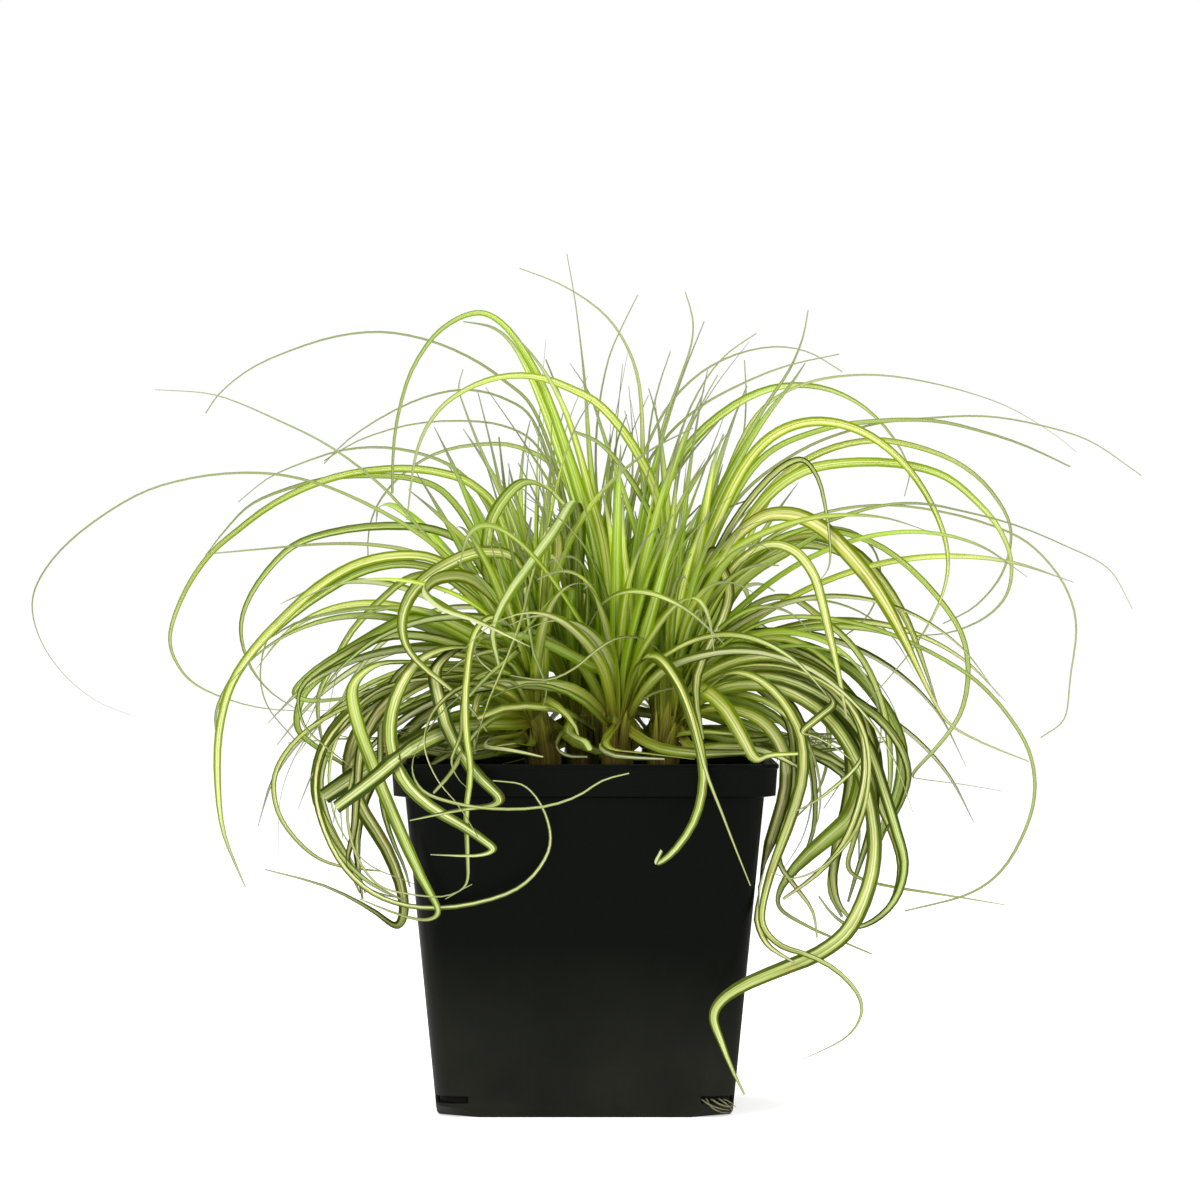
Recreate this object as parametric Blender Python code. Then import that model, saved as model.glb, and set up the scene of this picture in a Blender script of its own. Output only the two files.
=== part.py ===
# Potted variegated sedge: a square nursery pot, its soil, and a clump of seven shoots.
# Metres, +Z up. The origin is the centre of the pot's foot, on the surface that it stands on.
# The front of the pot faces -Y. Lengths are written in millimetres and scaled by MM.

import math
import random

import bmesh
import bpy
import numpy as np
from mathutils import Vector
from mathutils.bvhtree import BVHTree

MM = 0.001

# Pot, from its rim of 130 mm
POT_HEIGHT = 120.5
RIM_HALF = 65.4
COLLAR_HALF = 64.8
COLLAR_DROP = 11.5
BODY_TOP_HALF = 61.0
FOOT_HALF = 50.6
CORNER_RADIUS = 10.0
CORNER_STEPS = 4
WALL = 1.4
BEAD_HEIGHT = 1.8
FOOT_LIFT = 3.4
FOOT_LIFT_START = 60.5
FOOT_LIFT_END = 65.5
SLOT_HEIGHT = 2.4
SLOT_REACH = 11.0

# Soil
GAP = 0.3
SOIL_TOP = 111.0
SOIL_CROWN = 2.0

# Shoots: where each stands, and how far it leans by the height of its crown
CROWN_HEIGHT = 136.0
SHOOTS = {
    "left": ((-14.0, -6.0), (-3.0, -1.0)),
    "middle": ((11.0, -8.0), (0.5, -1.0)),
    "right": ((27.0, -4.0), (2.5, -0.5)),
    "inner": ((-1.0, 8.0), (-1.0, 0.5)),
    "rear_left": ((-16.0, 17.0), (-3.0, 2.0)),
    "rear": ((8.0, 24.0), (0.0, 3.0)),
    "rear_right": ((25.0, 14.0), (3.0, 1.5)),
}
HOLE_DEPTH = 12.0
SHEATH_RADIUS = 5.4
SHEATH_TOP = 122.0
SHEATH_SCALES = 5
SCALE_WIDTH = 5.2
STEM_RADIUS = 3.7
STEM_SIDES = 8

# Blades
BLADE_STEP = 36.0
TURN_STEP = 0.52
FEWEST_STEPS = 5
MOST_STEPS = 14
KEEL_SHARE = 0.27
LEAST_THICK = 0.65
LEAST_WIDE = 0.9
FREE_LENGTH = 42.0
CLEARANCE = 0.35
DEPTH_TRIES = (0, 4, -4, 8, -8, 12, -12, 17, -17, 22, -22, 28, -28)

# The traced routes are drawn on the plane of the rim's front and seen from this eye point
EYE = Vector((5.2, -2100.0, 176.0))
FRONT = -65.0

# Each traced blade: its shoot, width, depth at mid length and at the tip, and its route (x, z)
# as it looks from the front, from where it leaves the crown to its tip.
TRACED = {
    "far_left_loop": ("left", 3.6, -16, -34, [
        (-24, 163), (-45, 189), (-60, 201), (-80, 211.5), (-96, 217), (-112, 219), (-131, 217.5),
        (-150, 212), (-169, 200), (-181, 188), (-186.5, 176), (-184, 163), (-176, 151), (-165, 142),
        (-153, 137)]),
    "upper_left_feeler": ("left", 3.4, 8, 22, [
        (-22, 158), (-36, 178), (-48, 191), (-58, 203), (-67, 213), (-77, 221.5), (-88, 229),
        (-101, 235.5), (-124, 245), (-145, 247)]),
    "left_curtain": ("left", 4.6, -24, -40, [
        (-23, 162), (-36, 180), (-50, 189.5), (-63, 191), (-77, 188), (-90, 180.5), (-101, 170.5),
        (-111, 160), (-119, 148), (-123, 134), (-124, 118), (-122, 98), (-114.5, 79)]),
    "left_curtain_twin": ("rear_left", 3.2, -2, -8, [
        (-26, 165), (-42, 182), (-58, 188), (-74, 186), (-89, 178), (-101, 169), (-112, 159),
        (-120, 148), (-124.5, 138), (-124, 128)]),
    "left_hair_loop": ("rear_left", 2.4, 20, 12, [
        (-28, 170), (-50, 186), (-68, 190), (-82, 186), (-96, 177), (-106, 165), (-109.5, 152),
        (-107, 140), (-98, 129)]),
    "left_long_arch": ("left", 4.2, 14, 10, [
        (-20, 170), (-28, 203), (-37, 214.5), (-48, 219), (-62, 220.5), (-78, 219), (-92, 215),
        (-106, 208), (-118, 199), (-127, 191), (-135, 179), (-140, 165), (-138, 155), (-130, 146.5),
        (-112, 140), (-92, 138.5), (-78, 139.5)]),
    "left_arch_twin": ("rear_left", 3.4, 22, 30, [
        (-24, 165), (-36, 196), (-46, 211), (-56, 216.5), (-70, 218), (-87, 217), (-102, 213),
        (-113, 208), (-121, 200), (-128, 191)]),
    "left_level": ("left", 2.8, -6, -14, [
        (-22, 160), (-38, 180), (-55, 191), (-70, 194.5), (-87, 195), (-106, 193.5), (-128, 191.5)]),
    "left_pale_hook": ("rear_left", 3.3, 34, 38, [
        (-26, 168), (-38, 192), (-50, 199.5), (-66, 201), (-82, 199.5), (-97, 195), (-107, 186),
        (-114, 175), (-116, 165), (-113, 154), (-106, 145), (-97, 139)]),
    "back_left_hook": ("rear", 3.0, 50, 56, [
        (2, 190), (-8, 218), (-22, 227.5), (-36, 228.5), (-50, 225.5), (-62, 218), (-70, 208),
        (-73, 198), (-73, 188)]),
    "back_left_reach": ("rear_left", 2.6, 40, 52, [
        (-24, 180), (-32, 206), (-42, 219), (-54, 225), (-68, 227.5), (-82, 226.5), (-96, 222),
        (-107, 217), (-117, 209)]),
    "tall_arch": ("middle", 5.4, -14, -22, [
        (6, 185), (-1, 210), (-8, 232), (-14, 248), (-21, 261), (-28, 269.5), (-35, 273), (-43, 271),
        (-51, 265), (-58, 254.5), (-62, 243), (-64.5, 229), (-65, 212)]),
    "tall_arch_second": ("middle", 5.0, -2, 6, [
        (5, 180), (-4, 212), (-12, 236), (-18, 251), (-24, 262), (-31, 268), (-41, 270)]),
    "tall_arch_third": ("middle", 4.4, -8, -4, [
        (8, 185), (2, 212), (-5, 236), (-11, 249), (-17, 258), (-24, 266)]),
    "high_left_thread": ("inner", 3.2, 20, 36, [
        (-2, 180), (-8, 215), (-17, 240), (-27, 250), (-38, 257.5), (-52, 263.5), (-68, 266.5),
        (-84, 265), (-100, 260), (-113, 254), (-123, 246), (-128, 239)]),
    "high_left_thread_low": ("inner", 3.0, 8, 20, [
        (-4, 175), (-9, 212), (-17, 236), (-27, 244), (-40, 247), (-54, 244.5), (-68, 238), (-80, 230),
        (-88, 222)]),
    "right_to_left_arch": ("right", 4.0, -18, -30, [
        (26, 178), (25, 208), (17, 227), (6, 241), (-5, 247.5), (-17, 251.5), (-30, 251), (-42, 246),
        (-51, 238), (-57, 225), (-60, 203)]),
    "left_mid_thread": ("inner", 2.6, 16, 30, [
        (-3, 180), (-8, 210), (-16, 228), (-28, 235), (-44, 236.5), (-60, 235), (-76, 230), (-88, 223)]),
    "left_spike": ("left", 2.8, 0, 4, [
        (-18, 175), (-22, 196), (-29, 213), (-36, 229), (-41, 242), (-42.5, 248), (-41, 254)]),
    "tallest_spike": ("middle", 3.6, 2, 2, [
        (9, 175), (4, 205), (1.5, 228), (0.3, 247), (-1.5, 264), (-3.5, 279), (-6, 293)]),
    "back_feeler": ("right", 3.0, 8, 24, [
        (24, 180), (20, 210), (19.5, 234), (18, 251), (13, 264), (5, 274), (-8, 282.5), (-22, 288)]),
    "back_hair": ("rear", 1.8, 30, 38, [
        (8, 180), (4, 215), (4.5, 238), (8, 257), (13, 269), (18, 279)]),
    "short_crosser": ("right", 3.0, 4, 10, [
        (22, 180), (14, 210), (7, 230), (2, 245), (-5, 256)]),
    "low_crosser": ("right", 3.6, -22, -30, [
        (26, 175), (24, 200), (14, 219), (5, 229), (-4, 233)]),
    "left_hook_over": ("left", 4.4, -26, -40, [
        (-22, 162), (-32, 182), (-33, 197), (-29, 208), (-21, 216), (-13, 214), (-7, 208)]),
    "front_pale_fall": ("inner", 5.0, -26, -46, [
        (-3, 175), (-2, 198), (-4, 209), (-10, 200), (-19, 187.5), (-27, 176), (-31, 165), (-29, 154)]),
    "front_long_fall": ("left", 4.2, -36, -62, [
        (-13, 170), (-9, 193), (-12, 200), (-17, 186), (-21, 170), (-27, 154), (-33, 140), (-38, 123)]),
    "front_thin_fall": ("left", 2.4, -30, -40, [
        (-16, 165), (-20, 180), (-19, 168), (-17, 157), (-13, 147), (-14, 140)]),
    "big_left_bow": ("left", 4.6, -42, -52, [
        (-18, 165), (-22, 188), (-35, 192), (-48, 187), (-57, 180), (-61.5, 171), (-61, 162),
        (-56, 154.5), (-47, 147), (-39, 140), (-33, 131.5)]),
    "small_left_bow": ("left", 4.2, -30, -44, [
        (-22, 165), (-36, 182), (-48, 184), (-54, 179), (-48, 173), (-38, 169.5), (-28, 165), (-18, 160)]),
    "left_shoulder": ("left", 3.4, -18, -26, [
        (-24, 156), (-40, 166), (-55, 172), (-70, 173.5), (-86, 171.5), (-98, 168), (-108, 162)]),
    "left_inner_arc": ("rear_left", 3.6, 6, 4, [
        (-28, 162), (-44, 182), (-58, 184), (-70, 175), (-79, 165), (-85, 154), (-90, 143), (-89, 130),
        (-86, 120)]),
    "left_folded": ("left", 4.8, -28, -22, [
        (-25, 152), (-42, 165), (-58, 170), (-70, 165), (-82, 158), (-92, 151.5), (-98, 145),
        (-93, 142), (-80, 143), (-66, 147.5)]),
    "left_folded_twin": ("rear_left", 4.6, 0, 6, [
        (-28, 158), (-46, 169), (-60, 169), (-74, 161), (-86, 153), (-95, 144), (-97, 133), (-90, 126),
        (-80, 119.5), (-72, 112)]),
    "left_bright_drop": ("left", 4.8, -44, -66, [
        (-24, 150), (-42, 154), (-58, 155), (-70, 154), (-78, 147), (-77, 136), (-73, 124), (-67, 109),
        (-61, 95), (-55, 82), (-49.5, 71.5), (-53, 68), (-62, 69.5), (-76, 75)]),
    "left_tail": ("rear_left", 5.0, -10, -30, [
        (-30, 150), (-48, 152), (-64, 144), (-76, 132), (-79.5, 118), (-75, 105), (-67.5, 93),
        (-62.5, 81), (-61, 71), (-64, 66), (-73, 72), (-88, 79.5), (-108, 85)]),
    "front_left_bend": ("left", 4.6, -50, -76, [
        (-24, 154), (-42, 160), (-56, 155), (-64, 142), (-65.5, 128), (-61, 115), (-52, 106),
        (-42, 100), (-34.5, 95), (-31, 91.5), (-37, 89.5), (-52, 90)]),
    "rim_crosser": ("left", 3.8, -48, -74, [
        (-24, 155), (-40, 160), (-50, 153), (-49, 142), (-46, 132), (-41, 123), (-35, 115.5),
        (-29, 109.5), (-31, 106.5), (-42, 105), (-59, 101.5)]),
    "front_drop": ("left", 2.8, -54, -72, [
        (-19, 158), (-29, 170), (-37, 165), (-40, 148), (-40, 132), (-38.5, 118), (-40, 104),
        (-39.5, 90), (-40, 80), (-47, 75)]),
    "left_dark_strap": ("left", 5.4, -24, -34, [
        (-24, 136), (-36, 135.5), (-48, 132), (-62, 125.5), (-76, 117.5), (-88, 109.5)]),
    "left_dark_strap_low": ("left", 5.0, -38, -52, [
        (-24, 134), (-36, 134), (-48, 131), (-61, 124), (-72, 115), (-84, 106)]),
    "left_back_hanger": ("rear_left", 5.0, 10, 2, [
        (-34, 144), (-52, 138), (-66, 124), (-74, 110), (-77, 97), (-76.5, 85), (-75, 75)]),
    "left_outer_ring": ("left", 3.0, -34, -30, [
        (-27, 148), (-48, 150), (-68, 145), (-86, 137), (-98, 128), (-104.5, 117), (-104, 106),
        (-99, 97), (-91, 89.5), (-82, 86), (-69, 84.5)]),
    "left_inner_ring": ("left", 3.8, -40, -48, [
        (-27, 144), (-46, 148), (-64, 146), (-78, 139), (-86.5, 129), (-90.5, 117), (-90, 106),
        (-86, 95), (-79, 86), (-71, 79.5), (-61, 74.5)]),
    "left_ring_white": ("rear_left", 3.6, 14, 12, [
        (-32, 150), (-54, 150), (-74, 141), (-85, 128), (-89, 115), (-86.5, 102), (-82, 93),
        (-76.5, 84), (-74, 77)]),
    "front_loop": ("left", 3.2, -60, -80, [
        (-30, 149), (-44, 150), (-66, 147), (-80, 137), (-89, 124), (-90.5, 108), (-84, 90), (-73, 78),
        (-58, 72.5), (-40, 73), (-22, 79), (-12.3, 91), (-13, 103), (-20, 113), (-31, 115)]),
    "low_left_rim": ("left", 3.6, -22, -36, [
        (-22, 128), (-30, 127.5), (-38, 126), (-47, 123.5), (-56, 118)]),
    "low_left_rim_back": ("rear_left", 3.8, 12, 10, [
        (-30, 136), (-42, 134), (-54, 131), (-66, 126), (-78, 121)]),
    "left_short_curl": ("left", 3.4, -28, -40, [
        (-15, 142), (-9, 140), (-3.5, 134), (-1, 127)]),
    "right_short_spear": ("right", 4.6, 0, 2, [
        (31, 170), (40, 198), (50, 220), (60, 236.5), (69, 248), (74.5, 256)]),
    "right_long_spear": ("rear_right", 3.6, 16, 22, [
        (32, 170), (40, 200), (52, 226), (62, 243), (69, 253.5), (73.5, 264), (75.5, 274)]),
    "right_great_loop": ("right", 4.6, -14, -28, [
        (33, 170), (42, 196), (52, 218), (62, 230.5), (74, 236), (87, 235.5), (99, 230), (109, 221),
        (117, 209), (122, 196), (122.5, 184), (118, 171), (109, 157), (95, 141)]),
    "right_high_arch": ("rear", 3.8, 34, 46, [
        (20, 180), (26, 212), (36, 229), (48, 240), (60, 246.5), (72, 248.5), (84, 246.5), (95, 240.5),
        (104, 231), (109.5, 220), (108, 211)]),
    "right_far_thread": ("rear_right", 3.0, 28, 44, [
        (34, 175), (45, 210), (57, 237), (73, 248.5), (94, 252), (116, 249.5), (140, 242.5), (157, 233),
        (166, 226)]),
    "right_far_level": ("right", 3.2, 4, -4, [
        (35, 172), (46, 202), (60, 224), (80, 233.5), (100, 236.5), (118, 236.5), (134, 233),
        (149, 228), (164, 221)]),
    "right_faint_thread": ("rear_right", 2.4, 40, 60, [
        (36, 178), (50, 208), (72, 226), (96, 235), (117, 237.5), (136, 238), (154, 235), (171, 229.5),
        (188, 218)]),
    "top_right_thread": ("rear", 2.2, 30, 42, [
        (14, 180), (17, 212), (26, 229), (38, 240.5), (52, 248.5), (68, 255), (86, 259)]),
    "top_right_bow": ("rear", 2.3, 42, 58, [
        (12, 185), (17, 216), (26, 238), (37, 251), (50, 258.5), (64, 261.5), (76, 259.5), (87, 253)]),
    "top_right_reach": ("rear_right", 2.0, 32, 44, [
        (26, 180), (28, 212), (33, 234), (40, 249), (48, 259), (58, 266)]),
    "top_thread_a": ("middle", 2.0, 6, 14, [
        (15, 180), (20, 210), (22, 234), (25, 248), (29, 260)]),
    "top_thread_b": ("right", 2.4, 12, 22, [
        (25, 175), (24, 205), (26, 232), (32, 250), (36, 262), (36.5, 271), (34, 280)]),
    "top_thread_c": ("rear_right", 1.9, 22, 30, [
        (28, 175), (30, 205), (34, 229), (40, 243), (45, 252)]),
    "top_thread_d": ("rear_right", 2.0, 30, 36, [
        (34, 180), (47, 207), (53, 228), (54.5, 243), (54, 257)]),
    "right_pale_blade": ("rear", 3.8, 20, 26, [
        (18, 175), (26, 196), (34, 211), (41, 222), (48, 232)]),
    "right_upright": ("right", 4.4, -6, -4, [
        (32, 168), (38, 190), (41.5, 210), (44, 224), (47, 232)]),
    "right_big_loop": ("right", 4.2, -8, 6, [
        (36, 165), (48, 190), (60, 209), (74, 219.5), (92, 222.5), (109, 221.5), (122, 217.5),
        (132, 209.5), (140, 200), (144, 189), (142.5, 178), (135, 170), (123, 165), (111, 164)]),
    "right_big_loop_twin": ("rear_right", 3.2, 22, 30, [
        (36, 168), (50, 195), (64, 215), (80, 226), (98, 230), (115, 227), (129, 220.5), (139, 210.5),
        (144, 199), (141, 185), (132, 174), (121, 168)]),
    "right_level_thread": ("right", 3.8, -14, -24, [
        (35, 158), (46, 181), (62, 195), (80, 202), (98, 207.5), (113, 208.7), (128, 206), (145, 201.5),
        (162, 194.5), (177, 186.5), (185, 173)]),
    "right_hair_drop": ("rear_right", 2.8, 10, 4, [
        (37, 160), (52, 188), (74, 203), (98, 208), (122, 205.5), (143, 199), (154, 191.5),
        (162.5, 180), (166, 167), (164, 150), (162, 136), (154, 129.5)]),
    "right_short_fall": ("right", 4.4, -20, -34, [
        (34, 165), (46, 195), (60, 215), (72, 223.5), (78.5, 218), (81.5, 207), (83, 195), (82.5, 187),
        (79, 182)]),
    "right_feather": ("right", 5.8, -30, -46, [
        (36, 162), (46, 190), (58, 203), (70, 205), (81, 200), (90, 191), (98, 181), (105, 169),
        (111, 156.5), (117, 144), (123, 134.5), (134, 128), (150, 121.5)]),
    "right_feather_twin": ("rear_right", 4.6, 2, -6, [
        (38, 160), (55, 188), (74, 198), (90, 193), (101, 182), (109, 169), (114, 156), (119, 141)]),
    "right_thick_run": ("right", 5.4, -12, -16, [
        (36, 155), (46, 175), (57, 186), (69, 192.5), (82, 200)]),
    "right_thick_run_low": ("rear_right", 4.8, 8, 2, [
        (38, 156), (48, 176), (58, 188), (70, 194.5), (82, 193.5), (92, 188.5)]),
    "right_mid_fall": ("right", 4.2, -32, -40, [
        (36, 160), (48, 184), (60, 194), (70, 193), (77, 185), (80.5, 174), (83, 163), (86, 150),
        (88.5, 136)]),
    "right_long_ring": ("right", 3.4, -26, -22, [
        (38, 152), (50, 163), (64, 169.5), (79, 170), (94, 167.5), (108, 162.5), (122, 155.5),
        (133, 148), (143, 137), (150, 125), (152, 112), (149, 99), (141, 85), (129, 76.5), (108, 71)]),
    "right_pale_curtain": ("rear_right", 3.8, 6, -4, [
        (38, 152), (54, 172), (68, 177), (79, 170.5), (89, 162), (96, 152), (101, 139), (103, 126),
        (103, 113), (100, 98)]),
    "right_small_arc": ("rear_right", 3.4, 12, 18, [
        (38, 160), (55, 186), (74, 199), (88, 200), (97, 194), (100, 184), (97, 173), (91, 166),
        (84, 162)]),
    "right_elbow": ("right", 3.0, -36, -44, [
        (37, 158), (50, 184), (66, 197), (82, 199.5), (97, 195.5), (109, 187.5), (120, 176),
        (127.5, 164), (129.5, 151), (127, 138), (120, 127.5), (111, 117.5), (114, 115.5), (126, 114),
        (141, 111.5)]),
    "swoosh_outer": ("right", 4.0, -20, -26, [
        (38, 150), (50, 160), (64, 157), (78, 150), (90, 143), (100, 135.5), (107, 126), (109.5, 116),
        (106.5, 106), (101, 97)]),
    "swoosh_olive": ("right", 5.4, -28, -36, [
        (39, 146), (52, 155), (66, 152), (79, 145), (89, 136), (95, 124), (97.5, 111), (97, 98),
        (97, 85), (94, 70)]),
    "swoosh_brown": ("right", 5.6, -36, -50, [
        (38, 144), (50, 151), (63, 151), (75, 147), (85, 139.5), (92, 128), (94, 115), (90, 103),
        (82, 95.5), (73, 87.5), (66.5, 79), (66, 72), (75, 66), (85, 61.5), (97, 56.5)]),
    "swoosh_back": ("rear_right", 4.4, 14, 8, [
        (38, 148), (52, 155), (68, 155), (82, 149), (92, 139), (98, 125), (99, 110), (96, 96), (92, 84),
        (89, 74)]),
    "swoosh_back_low": ("rear_right", 4.2, 24, 30, [
        (38, 146), (52, 150), (66, 148), (80, 141), (90, 130), (94, 116), (91, 102), (85, 90), (83, 78),
        (87, 69)]),
    "swoosh_level": ("rear_right", 3.6, 20, 16, [
        (37, 144), (48, 147.5), (60, 147), (73, 142), (84, 136)]),
    "right_bottom_hook": ("right", 4.0, -44, -40, [
        (38, 144), (52, 150), (68, 149), (84, 141), (95, 128), (101, 112), (105, 99), (108, 87),
        (105.5, 76), (99, 68.5), (91, 65.5), (84, 69.5), (79, 76)]),
    "lowest_ribbon": ("right", 5.6, -52, -78, [
        (38, 142), (50, 147), (66, 146), (80, 138), (90, 125), (96, 109), (98, 93), (95.5, 78),
        (89, 64.5), (79, 56.5), (67, 51.5), (55, 46.5), (46.5, 41), (43.5, 35), (46, 27), (50, 17),
        (54, 9)]),
    "pot_side_drop": ("right", 4.8, -56, -64, [
        (38, 143), (48, 151), (58, 149.5), (67, 141.5), (73, 129.5), (73.5, 116), (70, 103), (65.5, 91),
        (61.5, 79), (60, 67), (66, 59.5), (76, 56), (85, 51), (92, 43.5), (93.5, 36), (88, 28), (74, 21)]),
    "pot_side_drop_twin": ("right", 4.8, -40, -62, [
        (37, 138), (48, 139.5), (60, 135), (67, 125), (68, 113), (65, 101), (61.5, 90), (59, 79),
        (58.5, 68), (62, 59.5), (71, 53.5)]),
    "right_dart": ("rear_right", 3.0, 2, -20, [
        (40, 144), (58, 149), (76, 143), (89, 128), (95, 111), (91, 95), (89, 86), (94, 81.5),
        (107, 78.5), (124, 76), (142, 73)]),
    "rim_corner_fold": ("right", 4.6, -44, -52, [
        (37, 146), (46, 141), (52, 132), (57.5, 122.5), (63, 123.5), (72, 124)]),
    "rim_back_run": ("rear_right", 4.8, 26, 24, [
        (38, 130), (48, 129), (59, 128.5), (70, 126.5), (81, 122), (91, 114)]),
    "rim_front_run": ("middle", 3.4, -30, -58, [
        (14, 133), (19, 129), (26, 126), (34, 124.6), (43, 124), (54, 124.5)]),
    "front_hooked_drop": ("middle", 4.0, -52, -77, [
        (16, 150), (21, 157), (28, 153.5), (33, 145), (36.5, 135), (39.3, 124), (40, 114), (38, 104),
        (34, 96), (28.5, 89.5), (24, 87), (26, 91.5)]),
    "front_right_drop": ("middle", 2.6, -58, -80, [
        (17, 152), (24, 157), (31, 149), (36, 137), (41, 118), (46, 105), (51, 92), (56, 79.5)]),
    "front_snake": ("right", 3.8, -26, -52, [
        (31, 165), (38, 182), (43, 192), (46.5, 186.5), (49, 178.5), (46.5, 169), (41.5, 159),
        (38, 150), (38, 140), (40, 129)]),
    "centre_thread": ("right", 2.2, -40, -52, [
        (29, 150), (26, 158), (19, 163), (11, 163), (4, 159), (-4, 152.5), (-13, 149), (-25, 150.5)]),
}

# The blades that fill the clump between the traced ones: how many, how steeply they leave the
# crown, how long they are, how far they bend over, and how wide they are, as (low, high)
FILL = {
    "upright": (32, (64, 88), (75, 118), (5, 35), (4.0, 5.4)),
    "arching": (28, (45, 78), (120, 180), (70, 135), (3.4, 5.0)),
    "hanging": (18, (20, 48), (110, 160), (85, 120), (3.8, 5.4)),
}
FILL_SHOOTS = ("middle", "inner", "rear", "rear_left", "rear_right")
FILL_TRIES = 16
FILL_SEED = 41
PARTED_HALF = 60.0
PARTED_ABOVE = 152.0
REACH_LIMIT = 172.0


def clear_scene():
    for obj in list(bpy.data.objects):
        bpy.data.objects.remove(obj)


def collection(name, hidden=False):
    made = bpy.data.collections.new(name)
    made.hide_render = hidden
    bpy.context.scene.collection.children.link(made)
    return made


def material(name, colour, roughness):
    made = bpy.data.materials.new(name)
    made.use_nodes = True
    shader = made.node_tree.nodes["Principled BSDF"]
    shader.inputs["Base Color"].default_value = (*colour, 1.0)
    shader.inputs["Roughness"].default_value = roughness
    made.diffuse_color = (*colour, 1.0)
    return made


def add_object(name, mesh, group, finish=None):
    obj = bpy.data.objects.new(name, mesh)
    group.objects.link(obj)
    if group.hide_render:
        obj.hide_render = True
        obj.display_type = "WIRE"
    if finish:
        mesh.materials.clear()
        mesh.materials.append(finish)
    return obj


def mesh_of(name, bm):
    """Closes the edit: scales millimetres to metres and turns the faces outwards."""
    bmesh.ops.recalc_face_normals(bm, faces=bm.faces)
    bmesh.ops.scale(bm, vec=(MM, MM, MM), verts=bm.verts)
    mesh = bpy.data.meshes.new(name)
    bm.to_mesh(mesh)
    bm.free()
    return mesh


def cut(obj, cutters, operation="DIFFERENCE", solver="EXACT"):
    """Applies one Boolean of a collection to the object and removes the collection's objects."""
    modifier = obj.modifiers.new("cut", "BOOLEAN")
    modifier.operation = operation
    modifier.operand_type = "COLLECTION"
    modifier.collection = cutters
    modifier.solver = solver
    bpy.context.view_layer.update()
    graph = bpy.context.evaluated_depsgraph_get()
    done = bpy.data.meshes.new_from_object(obj.evaluated_get(graph))
    obj.modifiers.clear()
    obj.data = done
    for cutter in list(cutters.objects):
        bpy.data.objects.remove(cutter)


# Pot and soil


def square_ring(bm, half, corner, z):
    """A square with rounded corners, as one ring of vertices in order."""
    ring = []
    for quarter in range(4):
        middle = math.radians(45 + 90 * quarter)
        centre = Vector((math.copysign(half - corner, math.cos(middle)),
                         math.copysign(half - corner, math.sin(middle)), z))
        for step in range(CORNER_STEPS + 1):
            turn = middle + math.radians(90) * (step / CORNER_STEPS - 0.5)
            ring.append(bm.verts.new(centre + corner * Vector((math.cos(turn), math.sin(turn), 0))))
    return ring


def lofted(name, sections):
    """A closed body through square rings of (half width, corner radius, height)."""
    bm = bmesh.new()
    rings = [square_ring(bm, *section) for section in sections]
    for low, high in zip(rings, rings[1:]):
        for i, vert in enumerate(low):
            j = (i + 1) % len(low)
            bm.faces.new((vert, low[j], high[j], high[i]))
    bm.faces.new(rings[0])
    bm.faces.new(rings[-1])
    return mesh_of(name, bm)


def pot_sections(inset, floor, top):
    """The pot's outline moved inwards by inset, from its floor to its top."""
    corner = CORNER_RADIUS - inset
    collar = POT_HEIGHT - COLLAR_DROP + inset * 0.8
    taper = (BODY_TOP_HALF - FOOT_HALF) / (POT_HEIGHT - COLLAR_DROP)
    return [
        (FOOT_HALF - inset + taper * floor, corner, floor),
        (BODY_TOP_HALF - inset, corner, collar),
        (COLLAR_HALF - inset, corner, collar + 0.6),
        (RIM_HALF - inset, corner, top),
    ]


def corner_lifts(group, rise):
    """A wedge under each foot corner: the foot is lifted off the ground there."""
    outline = [(FOOT_LIFT_START - 6, -6), (FOOT_LIFT_START + rise * 0.2, rise),
               (FOOT_LIFT_END + rise * 0.2, FOOT_LIFT + rise),
               (FOOT_HALF * 2, FOOT_LIFT + rise), (FOOT_HALF * 2, -6)]
    for quarter in range(4):
        turn = math.radians(45 + 90 * quarter)
        out = Vector((math.cos(turn), math.sin(turn), 0))
        side = Vector((-math.sin(turn), math.cos(turn), 0))
        bm = bmesh.new()
        face = bm.faces.new([bm.verts.new(out * d - side * 60 + Vector((0, 0, z))) for d, z in outline])
        grown = bmesh.ops.extrude_face_region(bm, geom=[face])["geom"]
        bmesh.ops.translate(bm, vec=side * 120,
                            verts=[g for g in grown if isinstance(g, bmesh.types.BMVert)])
        add_object("lift", mesh_of("lift", bm), group)


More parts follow.
